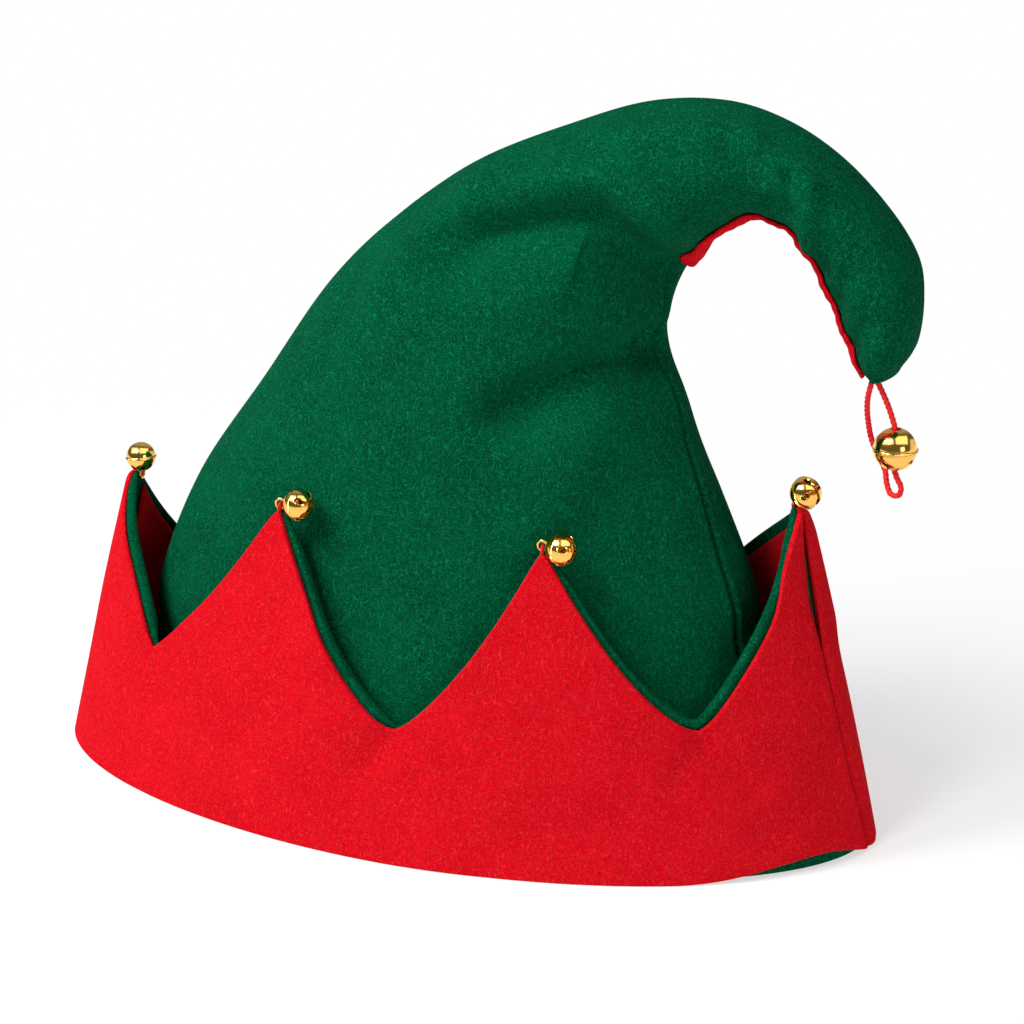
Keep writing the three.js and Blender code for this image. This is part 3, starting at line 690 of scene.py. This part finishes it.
def crown_waves(points, along):
    """Soft waves of thick felt, none near the hem."""
    total = np.zeros(points.shape[:-1])
    for lengths, phase, depth in CROWN_WAVES:
        total += depth * np.cos(points @ (2 * np.pi / np.array(lengths)) + phase)
    return total * smoothstep(along, 2.5, 5) * (1 - smoothstep(along, 13, 16))


def off_outline(round_share):
    """0 on the outer rail, where the felt is pulled taut, and 1 over the front and the back."""
    return np.sin(np.pi * (round_share % 1)) ** 2


def gather_depth(along, round_share):
    """Shallow folds where the crown is gathered to the gusset, with finer ones close beside it."""
    part = (along - GATHERS["first"]) / (GATHERS["last"] - GATHERS["first"])
    beside = np.exp(-(((round_share - 0.5) / GATHERS["reach"]) ** 2))
    wave = np.cos(2 * np.pi * GATHERS["folds"] * part)
    fine = GATHERS["fine"] * np.cos(2 * np.pi * GATHERS["fine_folds"] * GATHERS["folds"] * part + 1)
    close = np.exp(-(((round_share - 0.5) / GATHERS["fine_reach"]) ** 2))
    inside = np.sin(np.pi * np.clip(part, 0, 1))
    return GATHERS["depth"] * (wave * beside + fine * close) * inside


SEAM_GROOVE = dict(right=1.3, left=0.7, width=0.8, puff=0.3, puff_place=2.6, puff_width=1.3)


def seam_at(along):
    """Where the seam on the right is, as a share of the way round."""
    return np.interp(along, CROWN_SEAM_LINE[:, 0], CROWN_SEAM_LINE[:, 1])


def girth_at(along):
    """How far round the crown is."""
    rows = np.arange(LAST_ROW + 1)
    loops = plain_crown(rows[:, None], np.linspace(0, 1, 241)[None, :])
    lengths = np.linalg.norm(np.diff(loops, axis=1), axis=-1).sum(axis=1)
    return np.interp(along, rows, lengths)


def seam_depth(along, round_share):
    """A groove where the front and the back of the crown are sewn together, down each side."""
    girth = girth_at(along)
    right = np.abs(round_share - seam_at(along)) * girth
    left = np.minimum(round_share % 1, 1 - round_share % 1) * girth
    total = 0
    for gap, depth in ((right, SEAM_GROOVE["right"]), (left, SEAM_GROOVE["left"])):
        groove = np.exp(-((gap / SEAM_GROOVE["width"]) ** 2))
        puff = np.exp(-(((gap - SEAM_GROOVE["puff_place"]) / SEAM_GROOVE["puff_width"]) ** 2))
        total = total + depth * groove - SEAM_GROOVE["puff"] * depth * puff
    return total * (1 - 0.6 * smoothstep(along, 6.6, 7.4))


def on_crown(along, round_share, outwards=0.0):
    """A point of the crown's felt, with its folds, or this far out from it."""
    along, round_share = np.broadcast_arrays(np.asarray(along, float), np.asarray(round_share, float))
    point = plain_crown(along, round_share)
    move = outwards - fold_depth(point) - gather_depth(along, round_share)
    move = move - seam_depth(along, round_share) + crown_waves(point, along) * off_outline(round_share)
    return point + crown_normal(along, round_share) * move[..., None]


print("folds:", ", ".join(fold[0] for fold in CROWN_FOLDS))

# %% [markdown]
# The crown is cut in two halves, a front and a back, sewn together down both sides. The outside needs
# close rows for its folds and its hollow doesn't, so a half is two grids of the same columns, joined
# at the hem, along both seams and at the peak. Columns stand closer together beside a seam, where the
# felt turns in.

# %% The crown's two halves
CROWN_FELT = 2.0
HALF_COLUMNS = 130
HOLLOW_ROWS = 80
ROWS_EACH = 3
HOLLOW_END = 15.6
CROWN_GAP = 0.3
PEAK_ROUNDING = 0.45
BESIDE_SEAM = np.array((0, 0.15, 0.35, 0.6, 0.9, 1.3, 1.8, 2.4, 3.2, 4.2))


def half_columns(along, side):
    """Where a half's columns are, as shares of the way round. The front's side is -1, the back's 1."""
    seam = seam_at(along)[:, None]
    first = 0 * seam if side < 0 else seam
    last = seam if side < 0 else 0 * seam + 1
    beside = BESIDE_SEAM / girth_at(along)[:, None]
    start = first + beside
    end = last - beside[:, ::-1]
    part = np.linspace(0, 1, HALF_COLUMNS)[1:-1]
    middle = start[:, -1:] + part * (end[:, :1] - start[:, -1:])
    return np.concatenate([start, middle, end], axis=1)


def half_sheet(along, side, outwards):
    """A grid of a half's points, closed at the peak with a rounded end."""
    rows = on_crown(along[:, None], half_columns(along, side), outwards)
    rows[:, (0, -1), 1] += side * CROWN_GAP / 2
    rows[..., 2] = np.maximum(rows[..., 2], 0)
    last = rows[-1]
    middle = (last[0] + last[-1]) / 2
    ahead = unit(middle - (rows[-2][0] + rows[-2][-1]) / 2)
    spread = np.linalg.norm(last - middle, axis=-1).mean()
    ends = []
    for turn in np.linspace(0, np.pi / 2, 8)[1:]:
        rise = ahead * PEAK_ROUNDING * spread * math.sin(turn)
        ends.append(middle + (last - middle) * math.cos(turn) * 0.999 + rise)
    ends[-1] = ends[-1] + 0.02 * (last - middle)
    return np.concatenate([rows, np.array(ends)])


def crown_half(side):
    """The points and faces of a half: its outside, its hollow, and the strips that join them."""
    inner = half_sheet(np.linspace(0, HOLLOW_END, HOLLOW_ROWS), side, -CROWN_FELT)
    up_outside = np.linspace(0, LAST_ROW, ROWS_EACH * (len(inner) - 1) - 6)
    outer = half_sheet(up_outside, side, 0.0)
    columns = outer.shape[1]
    outer_faces = grid_faces(len(outer), columns)
    count = len(outer) * columns
    inner_faces = grid_faces(len(inner), columns)[:, ::-1] + count
    faces = [tuple(face) for face in outer_faces] + [tuple(face) for face in inner_faces]
    faces += [(i, i + count, i + 1 + count, i + 1) for i in range(columns - 1)]
    for row in range(len(inner) - 1):
        low = ROWS_EACH * row
        for column, turned_over in ((0, False), (columns - 1, True)):
            face = [(low + k) * columns + column for k in range(ROWS_EACH + 1)]
            face += [count + (row + 1) * columns + column, count + row * columns + column]
            faces.append(tuple(face[::-1] if turned_over else face))
    faces.append(tuple((len(outer) - 1) * columns + i for i in range(columns)))
    faces.append(tuple(count + (len(inner) - 1) * columns + i for i in range(columns))[::-1])
    return np.concatenate([outer.reshape(-1, 3), inner.reshape(-1, 3)]), faces


crown_front = make_piece("crown_front_felt", *crown_half(-1), "green_felt", "crown_front")
crown_back = make_piece("crown_back_felt", *crown_half(1), "green_felt", "crown_back")

# %% [markdown]
# A band of red felt is let in under the hook. It is pointed where it starts, a little behind the inner
# rail, and its edges ripple where they are gathered to the green. It is a grid over the crown's own
# surface, a little way out from it, and its middle is puffed.

# %% The gusset under the hook
GUSSET = dict(
    first=7.3, last=16.5, start=0.05, start_part=0.05, front=0.06, back=0.12,
    point=0.05, widening=6, taper=0.35,
    felt=1.3, gap=0.12, puff=0.35, ripples=10, ripple=0.1, scallop=0.0016,
)


def gusset_rows(count, across):
    """Rows of points that go across the gusset's outer face and back over its inner face."""
    part = np.linspace(0, 1, count)[:, None]
    side = np.linspace(0, 1, across)[None, :]
    along = GUSSET["first"] + part * (GUSSET["last"] - GUSSET["first"])
    opening = np.sqrt(np.clip(GUSSET["widening"] * part, 0, 1)) * (1 - GUSSET["point"]) + GUSSET["point"]
    narrowing = opening * (1 - GUSSET["taper"] * part)
    wave = np.cos(2 * np.pi * GUSSET["ripples"] * part)
    scallop = GUSSET["scallop"] * np.cos(4 * np.pi * GUSSET["ripples"] * part + 0.6)
    scallop = scallop * np.clip(6 * part, 0, 1)
    turn = (-GUSSET["front"] + side * (GUSSET["front"] + GUSSET["back"])) * narrowing
    turn = turn + GUSSET["start"] * np.exp(-part / GUSSET["start_part"])
    turn = turn + scallop * np.where(side < 0.5, -1, 1) * np.abs(2 * side - 1) ** 3
    swell = np.sin(np.pi * (0.2 + 0.6 * side))
    puffed = (GUSSET["puff"] + GUSSET["ripple"] * wave) * swell
    inner = GUSSET["gap"] + 0.25 * (1 - np.abs(2 * side - 1) ** 6)
    edge = 0.45 * GUSSET["felt"] * (1 - np.abs(2 * side - 1) ** 4)
    outer_face = on_crown(along, 0.5 + turn, puffed + inner + 0.55 * GUSSET["felt"] + edge)
    inner_face = on_crown(along, 0.5 + turn, puffed + inner)
    return np.concatenate([outer_face, inner_face[:, ::-1]], axis=1)


gusset_grid = gusset_rows(260, 17)
gusset_faces = [face[::-1] for face in ring_faces(*gusset_grid.shape[:2])]
gusset = make_piece("gusset_felt", gusset_grid.reshape(-1, 3), gusset_faces, "red_felt", "under_gusset")

# %% [markdown]
# A round bell is pressed from two bowls whose rims make a thin band round its middle, and its foot is
# cut by a cross of slots that end in round holes. A profile turned round an axis gives the shell, and
# a Boolean takes the slots out. Booleans like sizes near one, so this is done in millimetres.

# %% A bell's body
BELL_SIDES = 96


def turned(profile, sides=BELL_SIDES):
    """A closed profile of (radius, height) turned round the z axis."""
    profile = np.asarray(profile, float)
    angle = 2 * np.pi * np.arange(sides) / sides
    ring = np.stack([np.cos(angle), np.sin(angle)], axis=-1)
    x = profile[:, None, 0] * ring[None, :, 0]
    y = profile[:, None, 0] * ring[None, :, 1]
    z = np.repeat(profile[:, 1][:, None], sides, axis=1)
    points = np.stack([x, y, z], axis=-1).reshape(-1, 3)
    return points, grid_faces(len(profile), sides, False, True)


def scratch_object(name, points, faces):
    mesh = bpy.data.meshes.new(name)
    mesh.from_pydata(np.asarray(points, float).tolist(), [], [tuple(map(int, face)) for face in faces])
    mesh.validate()
    piece = bpy.data.objects.new(name, mesh)
    bpy.context.collection.objects.link(piece)
    return piece


def shell(radius, wall, band):
    """A hollow ball with a thin band round its middle: the outside, then the hollow inside."""
    reach = np.linspace(-math.pi / 2, math.pi / 2, 61)
    outer = [(radius * math.cos(a), radius * math.sin(a)) for a in reach if abs(a) > band / radius / 2]
    lower = [point for point in outer if point[1] < 0]
    upper = [point for point in outer if point[1] > 0]
    rim = radius + 0.35 * band
    seam = [
        (radius + 0.05 * band, -band / 2), (rim, -0.38 * band), (rim, -0.1 * band),
        (rim - 0.18 * band, 0), (rim, 0.1 * band), (rim, 0.38 * band), (radius + 0.05 * band, band / 2),
    ]
    outside_points, outside_faces = turned([*lower, *seam, *upper])
    inside = [((radius - wall) * math.cos(a), (radius - wall) * math.sin(a)) for a in reach[::2]]
    inside_points, inside_faces = turned(inside, 64)
    return several([(outside_points, outside_faces), (inside_points, inside_faces[:, ::-1])])


def bar(length, width, low, high, eye):
    """A slot cutter: a bar with a round hole at each end, as one outline pulled up."""
    outline = []
    for end in (0, math.pi):
        spread = math.asin(width / 2 / eye)
        for a in np.linspace(math.pi - spread, -math.pi + spread, 25):
            outline.append((math.cos(end) * length + eye * math.cos(a + end), eye * math.sin(a + end)))
    count = len(outline)
    points = [(x, y, low) for x, y in outline] + [(x, y, high) for x, y in outline]
    faces = [(i, (i + 1) % count, count + (i + 1) % count, count + i) for i in range(count)]
    faces += [tuple(range(count))[::-1], tuple(range(count, 2 * count))]
    return np.array(points), [face[::-1] for face in faces]


def ball(radius):
    reach = np.linspace(-math.pi / 2, math.pi / 2, 25)
    return turned([(radius * math.cos(a), radius * math.sin(a)) for a in reach], 36)


print("a bell's shell has", len(shell(4.35, 0.5, 0.5)[1]), "faces")

# %% [markdown]
# The cutter is two crossed bars, taken from the shell one after the other with the exact solver. A
# small Bevel rounds the new edges, which is what makes them catch the light like stamped metal.


# %% Cutting the slots
SLOT_REACH = 0.7


def apply_modifiers(piece):
    graph = bpy.context.evaluated_depsgraph_get()
    mesh = bpy.data.meshes.new_from_object(piece.evaluated_get(graph))
    piece.modifiers.clear()
    piece.data = mesh


def about_z(angle):
    """A matrix that turns points about the z axis."""
    along, across = math.cos(angle), math.sin(angle)
    return np.array([[along, -across, 0], [across, along, 0], [0, 0, 1]])


def bell_mesh(radius, wall, band, slot, eye, hole=0.0):
    """The points and faces of a bell with its slots at the top, in millimetres."""
    points, faces = shell(radius, wall, band)
    body = scratch_object("bell_work", points, faces)
    cutters = []
    for turn in (0, math.pi / 2):
        cut_points, cut_faces = bar(SLOT_REACH * radius, slot, radius * 0.3, radius * 1.6, eye)
        cutters.append(scratch_object("cutter", cut_points @ about_z(turn).T, cut_faces))
    if hole:
        rim = [(0, -2 * radius), (hole, -2 * radius), (hole, -0.2 * radius), (0, -0.2 * radius)]
        rim_points, rim_faces = turned(rim, 48)
        cutters.append(scratch_object("cutter", rim_points, rim_faces))
    for cutter in cutters:
        cut = body.modifiers.new("slot", "BOOLEAN")
        cut.operation = "DIFFERENCE"
        cut.solver = "EXACT"
        cut.object = cutter
    bpy.context.view_layer.update()
    apply_modifiers(body)
    edge = body.modifiers.new("edge", "BEVEL")
    edge.width = 0.06
    edge.segments = 2
    edge.limit_method = "ANGLE"
    edge.angle_limit = math.radians(50)
    bpy.context.view_layer.update()
    apply_modifiers(body)
    found = np.array([tuple(vertex.co) for vertex in body.data.vertices])
    polygons = [tuple(polygon.vertices) for polygon in body.data.polygons]
    for scratch in (body, *cutters):
        bpy.data.objects.remove(scratch)
    return found, polygons


# %% [markdown]
# Each small bell has a wire shank soldered to its top, which the thread goes through. Which way its
# slots face is its own affair: the wire turns a little in the thread, and no two bells look the same.

# %% The small bells
TIP_RADIUS = 4.35
TIP_WALL = 0.5
TIP_BALL = 1.3
SHANK_RING = 1.35
SHANK_WIRE = 0.4
SHANK_REACH = TIP_RADIUS + SHANK_RING - SHANK_WIRE / 2
SHANK_SEAT = 0.3 + SHANK_WIRE
SEATS = {
    # how far in from the cuff's face and how far above the point's tip
    "outside": (-SHANK_SEAT, 0),
    "inside": (PLY_STEP + CUFF_FELT + SHANK_SEAT, 0),
    "above": (CUFF_FELT, SHANK_RING + SHANK_SEAT),
}
TIP_BELLS = [
    # name, share, seat, drop, where the bell stands from its seat, where its slots face, their turn
    ("tip_bell_4", 0.0, "above", 0, (0.564, -0.579, 0.662), (0.747, -0.496, 0.44), 50),
    ("tip_bell_5", 0.19, "outside", 0.4, (0, 0, 1), (0, 0, 1), 0),
    ("tip_bell_6", 0.345, "outside", 0.4, (0, 0, 1), (0, 0, 1), 0),
    ("tip_bell_1", 0.5, "inside", 0.85, (0.05, -0.1, 1), (0.1, -0.1, -1), 20),
    ("tip_bell_2", 0.667, "above", 0, (0.994, -0.039, 0.085), (0.92, -0.35, 0.2), -36),
    ("tip_bell_3", 0.8355, "above", 0, (0.99, -0.13, 0), (0.906, -0.39, 0.151), -25),
]
THREADS = (-0.5, -0.15, 0.2, 0.55)
turns = 2 * np.pi * np.arange(36) / 36
ring_path = np.stack([0 * turns, SHANK_RING * np.cos(turns), SHANK_RING * np.sin(turns)], axis=-1)
shank = tube(ring_path - (0, 0, SHANK_REACH), SHANK_WIRE, sides=12, closed=True)
small_bell = bell_mesh(TIP_RADIUS, TIP_WALL, 0.5, slot=0.85, eye=0.9)
small_ball = ball(TIP_BALL)


def axes_for(outward, towards, turn=0):
    """A bell's own three axes: the third along towards, the first as far outwards as it can be."""
    axis = unit(np.array(towards, float))
    level = unit(outward - axis * (outward @ axis))
    side = np.cross(axis, level)
    spin = math.radians(turn)
    return np.stack([
        level * math.cos(spin) + side * math.sin(spin),
        side * math.cos(spin) - level * math.sin(spin),
        axis,
    ])


bells = []
threads = []
for name, share, seat_kind, drop, towards, slots_face, turn in TIP_BELLS:
    _, outward = hem_at(share)
    outward = np.array((*outward, 0))
    inset, rise = SEATS[seat_kind]
    seat = on_cuff(share, edge_at(share)[0] + rise - drop, inset)
    axes = axes_for(outward, towards)
    middle = seat + axes[2] * SHANK_REACH
    body_points = small_bell[0] @ axes_for(outward, slots_face, turn) + middle
    bell_parts = several([(body_points, small_bell[1]), (shank[0] @ axes + middle, shank[1])])
    bells.append(make_piece(f"{name}_brass", *bell_parts, "bell_brass", name))
    ball_points = small_ball[0] + middle - (0, 0, TIP_RADIUS - TIP_WALL - TIP_BALL - 0.3)
    make_piece(f"{name}_loose_ball", ball_points, small_ball[1], "ball_steel", f"{name}_ball")
    into_felt = {"above": np.array((0, 0, -1)), "outside": -outward, "inside": outward}[seat_kind]
    round_felt = outward if seat_kind == "above" else axes[2]
    across = unit(np.cross(axes[2], into_felt))
    for k, lean in enumerate(THREADS):
        loop_turn = 2 * np.pi * np.arange(28) / 28
        centre = seat + into_felt * 1.5 + across * lean * 0.8
        reach = 1.55 + 0.12 * k
        loop = (
            centre
            + into_felt * (reach * np.cos(loop_turn))[:, None]
            + round_felt * (0.95 * np.sin(loop_turn))[:, None]
            + across * (0.3 * lean * np.sin(loop_turn))[:, None]
        )
        threads.append(tube(loop, 0.2, sides=8, closed=True))
thread_points, thread_faces = several(threads)
stitches = make_piece("bell_stitches", thread_points, thread_faces, "red_cord")

# %% [markdown]
# The larger bell hangs with its slots down, and turned so that they show on both sides of the middle.
# The cord goes through a hole in its top, and the little metal ball that rings it lies inside.

# %% The bell at the peak
PEAK_BELL_TURN = math.radians(26.4)
big_bell = bell_mesh(PEAK_BELL_RADIUS, 0.6, 0.8, slot=1.0, eye=1.5, hole=1.5)
turned_over = big_bell[0] @ about_z(PEAK_BELL_TURN).T * (1, -1, -1)
peak_bell = make_piece(
    "peak_bell_brass", turned_over + PEAK_BELL_PLACE, big_bell[1], "bell_brass", "peak_bell"
)
big_ball = ball(1.2)
ball_points = big_ball[0] + PEAK_BELL_PLACE + (0, 2.6, -2)
peak_ball = make_piece("peak_bell_loose_ball", ball_points, big_ball[1], "ball_steel", "peak_bell_ball")

# %% [markdown]
# A finish is a small network of nodes. Written as node by node it is long and hard to follow, so one
# class wraps the output of a node: arithmetic on it adds Math nodes, or Vector Math nodes when it
# carries a vector, and one method adds any other node.


# %% Shader arithmetic
class Wire:
    """The output of a node in a material."""

    def __init__(self, socket):
        self.socket = socket
        self.tree = socket.id_data

    def node(self, kind, settings, values, output=0):
        """Adds a node: its settings first, then the values or wires of its sockets."""
        made = self.tree.nodes.new(kind)
        for name, setting in settings.items():
            if name == "stops":
                ramp = made.color_ramp.elements
                while len(ramp) < len(setting):
                    ramp.new(1.0)
                for stop, (position, colour) in zip(ramp, setting):
                    stop.position = position
                    stop.color = colour
            else:
                setattr(made, name, setting)
        for name, value in values.items():
            if isinstance(value, Wire):
                self.tree.links.new(value.socket, made.inputs[name])
            else:
                made.inputs[name].default_value = value
        return Wire(made.outputs[output]) if len(made.outputs) else None

    def _math(self, operation, first, second):
        kind = "ShaderNodeVectorMath" if self.socket.type == "VECTOR" else "ShaderNodeMath"
        return self.node(kind, {"operation": operation}, {0: first, 1: second})

    def __add__(self, other):
        return self._math("ADD", self, other)

    def __radd__(self, other):
        return self._math("ADD", other, self)

    def __sub__(self, other):
        return self._math("SUBTRACT", self, other)

    def __rsub__(self, other):
        return self._math("SUBTRACT", other, self)

    def __mul__(self, other):
        return self._math("MULTIPLY", self, other)

    def __rmul__(self, other):
        return self._math("MULTIPLY", other, self)


def start_finish(name):
    """A new material and the place on the surface, in millimetres."""
    material = bpy.data.materials.new(name)
    material.use_nodes = True
    material.node_tree.nodes.clear()
    coordinates = material.node_tree.nodes.new("ShaderNodeTexCoord")
    place = Wire(coordinates.outputs["Object"])
    return material, place * (1000.0, 1000.0, 1000.0)


def maths(operation, first, *others):
    """A Math node of another kind."""
    return first.node("ShaderNodeMath", {"operation": operation}, dict(enumerate((first, *others))))


def vector_maths(operation, output, first, *others):
    """A Vector Math node of another kind."""
    values = dict(enumerate((first, *others)))
    return first.node("ShaderNodeVectorMath", {"operation": operation}, values, output)


def noise(place, size, detail=2.0, roughness=0.5, twist=0.0):
    """Soft random values that change over about this many millimetres."""
    return place.node("ShaderNodeTexNoise", {}, {
        "Vector": place, "Scale": 1 / size, "Detail": detail, "Roughness": roughness, "Distortion": twist,
    }, "Fac")


def fade(value, low, high):
    """0 at low, 1 at high, and smooth between. Low may be the larger."""
    values = {"Value": value, "From Min": min(low, high), "From Max": max(low, high)}
    if low > high:
        values.update({"To Min": 1.0, "To Max": 0.0})
    return value.node("ShaderNodeMapRange", {"interpolation_type": "SMOOTHSTEP"}, values)


def bumps(height, strength, distance):
    values = {"Height": height, "Strength": strength, "Distance": distance}
    return height.node("ShaderNodeBump", {}, values, "Normal")


def blend(factor, first, second):
    """A mix of two colours."""
    settings = {"data_type": "RGBA"}
    return factor.node("ShaderNodeMix", settings, {0: factor, 6: first, 7: second}, 2)


def finish_with(place, values):
    """Ends a material with one Principled surface."""
    surface = place.node("ShaderNodeBsdfPrincipled", {}, values)
    place.node("ShaderNodeOutputMaterial", {}, {"Surface": surface})


# %% [markdown]
# Felt is a mat of short curly fibres. Close up, pale fibres lie over a darker ground. The contour lines
# of a soft noise are thin curls, as on a map, so that is what draws them: a few layers of contours,
# each stretched its own way and broken into short pieces by another noise. A last layer is of a few
# long stray fibres. The same curls raise a small bump, which makes the gaps between them dark.

# %% Felt
def curls(place, shift, stretch, size, lines, width, gaps):
    """Thin curly lines with gaps, from the contours of a noise."""
    moved = place * stretch + shift
    ground = noise(moved, size, 1.0, 0.5, 0.8) * lines
    drawn = fade(maths("ABSOLUTE", maths("FRACT", ground) - 0.5), width, width * 0.3)
    return drawn * fade(noise(moved + (7.0, 3.0, 5.0), size * 0.7, 1.0), gaps, gaps + 0.12)


def felt(name, deep, ground, fibre, show, stray):
    """Felt of three colours. show is how clear its fibres are, and stray how clear the long ones are."""
    material, place = start_finish(name)
    lit = curls(place, (0.0, 0.0, 0.0), (1.0, 1.0, 0.4), 1.2, 5.0, 0.2, 0.42)
    lit = maths("MAXIMUM", lit, curls(place, (31.0, 17.0, 5.0), (0.4, 1.0, 1.0), 1.0, 5.0, 0.18, 0.44))
    lit = maths("MAXIMUM", lit, curls(place, (11.0, 47.0, 23.0), (1.0, 0.8, 1.0), 0.7, 3.0, 0.2, 0.47))
    long_ones = curls(place, (3.0, 71.0, 9.0), (1.0, 1.0, 0.7), 3.6, 6.0, 0.08, 0.53)
    mottle = noise(place, 14.0, 2.0, 0.5)
    grain = noise(place, 0.45, 2.0, 0.7)
    body = blend(fade(grain * 0.8 + mottle * 0.2, 0.3, 0.7), deep, ground)
    colour = blend(lit * (0.6 + grain * 0.4) * show, body, fibre)
    colour = blend(long_ones * stray, colour, fibre)
    height = lit * 0.7 + grain * 0.5 + long_ones * 0.4
    finish_with(place, {
        "Base Color": colour,
        "Roughness": 1.0,
        "Specular IOR Level": 0.03,
        "Normal": bumps(height, 0.75, 0.0003),
    })
    return material


green_felt = felt(
    "green felt", (0.0, 0.028, 0.01, 1), (0.0, 0.1, 0.038, 1), (0.003, 0.23, 0.1, 1), show=0.6, stray=0.5,
)
red_felt = felt(
    "red felt", (0.55, 0.0, 0.006, 1), (0.85, 0.004, 0.016, 1), (1.0, 0.04, 0.045, 1), show=0.5, stray=0.25,
)
for piece in (crown_front, crown_back, cuff_lining):
    piece.data.materials.append(green_felt)
for piece in (cuff_front, cuff_back, back_facing, gusset):
    piece.data.materials.append(red_felt)
print("felt finishes on seven pieces")

# %% [markdown]
# Brass-coloured bells are polished, so most of what is seen on them is the room. A little uneven
# roughness and faint ripples from the press keep them from looking like computer chrome.

# %% Metal and cord
def metal(name, colour, rough):
    material, place = start_finish(name)
    finish_with(place, {
        "Base Color": colour,
        "Metallic": 1.0,
        "Roughness": noise(place, 2.2, 3.0) * 0.12 + rough,
        "Normal": bumps(noise(place, 3.5, 1.0), 0.12, 0.0002),
    })
    return material


gold = metal("polished brass", (0.98, 0.57, 0.13, 1), 0.06)
steel = metal("ball steel", (0.5, 0.5, 0.52, 1), 0.2)

material, place = start_finish("twisted red cord")
fibres = noise(place, 0.25, 2.0)
finish_with(place, {
    "Base Color": blend(fade(fibres, 0.35, 0.7), (0.7, 0.0, 0.003, 1), (1.0, 0.012, 0.012, 1)),
    "Roughness": 0.7,
    "Normal": bumps(fibres, 0.4, 0.0001),
})
for piece in (hang_cord, stitches):
    piece.data.materials.append(material)
for piece in (*bells, peak_bell):
    piece.data.materials.append(gold)
for piece in bpy.data.objects:
    if piece.name.endswith("_loose_ball"):
        piece.data.materials.append(steel)
print("metal on", len(bells) + 1, "bells")

# %% [markdown]
# The studio is a pale floor that runs into a white surround, with two soft lights high on the left and a
# weak one on the right. The floor glows more with distance, so that only the soft shadow beside the hat
# is seen on it. The bells mirror a room that is drawn on the world: how far a mirrored direction is
# to the right and upwards, halfway to the camera's place, is where a ball shows it. Three windows and a
# bright ceiling are drawn there, and only glossy rays see them.

# %% The studio
floor_mesh = bpy.data.meshes.new("floor")
floor_mesh.from_pydata([(-6, -6, 0), (6, -6, 0), (6, 6, 0), (-6, 6, 0)], [], [(0, 1, 2, 3)])
floor = bpy.data.objects.new("floor", floor_mesh)
bpy.context.collection.objects.link(floor)
material, place = start_finish("pale floor")
far = fade(vector_maths("LENGTH", "Value", place), 130.0, 420.0)
finish_with(place, {
    "Base Color": blend(far, (0.42, 0.42, 0.42, 1), (0, 0, 0, 1)),
    "Emission Color": blend(far, (0.6, 0.6, 0.6, 1), (1, 1, 1, 1)),
    "Roughness": 1.0,
    "Specular IOR Level": 0.0,
    "Emission Strength": 1.0,
})
floor.data.materials.append(material)

world = bpy.data.worlds.new("surround")
world.use_nodes = True
backdrop = world.node_tree.nodes["Background"]
direction = Wire(world.node_tree.nodes.new("ShaderNodeTexCoord").outputs["Generated"])
height = direction.node("ShaderNodeSeparateXYZ", {}, {"Vector": direction}, "Z")
sky = height.node("ShaderNodeMapRange", {"interpolation_type": "SMOOTHSTEP"}, {
    "Value": height, "From Min": -0.1, "From Max": 0.9, "To Min": 0.06, "To Max": 0.32,
})
half_way = vector_maths("NORMALIZE", "Vector", direction + tuple(back))
to_right = Vector((math.cos(AZIMUTH), math.sin(AZIMUTH), 0))
across = vector_maths("DOT_PRODUCT", "Value", half_way, tuple(to_right))
upward = vector_maths("DOT_PRODUCT", "Value", half_way, tuple(back.cross(to_right)))


def pane(left, right, low, high):
    """A window on a picture of what a mirror ball shows, in shares of its radius, with soft edges."""
    soft = 0.03
    wide = fade(across, left - soft, left + soft) * fade(across, right + soft, right - soft)
    return wide * fade(upward, low - soft, low + soft) * fade(upward, high + soft, high - soft)


room = pane(-0.62, -0.14, 0.2, 0.55) * 1.3 + pane(-0.04, 0.5, 0.2, 0.55) * 1.6
room = room + pane(0.62, 0.84, -0.1, 0.4) * 0.7
room = room + 0.12 + fade(upward, 0.55, 0.8) * 0.3
seen = height.node("ShaderNodeLightPath", {}, {}, "Is Camera Ray")
shiny = height.node("ShaderNodeLightPath", {}, {}, "Is Glossy Ray")
strength = maths("MAXIMUM", seen, sky * (1.0 - shiny) + room * shiny)
world.node_tree.links.new(strength.socket, backdrop.inputs["Strength"])
backdrop.inputs["Color"].default_value = (1, 1, 1, 1)
bpy.context.scene.world = world


def soft_light(name, place, aim, wide, high, power):
    lamp = bpy.data.objects.new(name, bpy.data.lights.new(name, "AREA"))
    bpy.context.collection.objects.link(lamp)
    lamp.data.shape = "RECTANGLE"
    lamp.data.size = wide
    lamp.data.size_y = high
    lamp.data.energy = power
    lamp.location = place
    lamp.rotation_euler = (Vector(aim) - Vector(place)).to_track_quat("-Z", "Y").to_euler()


soft_light("left pane", (-0.85, -0.5, 1.15), (0, 0, 0.1), 0.32, 0.45, 14)
soft_light("right pane", (-0.45, -0.75, 1.2), (0, 0, 0.1), 0.32, 0.45, 10)
soft_light("fill light", (1.2, -0.9, 0.5), (0, 0, 0.1), 0.5, 0.5, 2.5)
bpy.context.scene.view_settings.view_transform = "Standard"
bpy.context.scene.view_settings.look = "None"
print("lights:", len(bpy.data.lights))
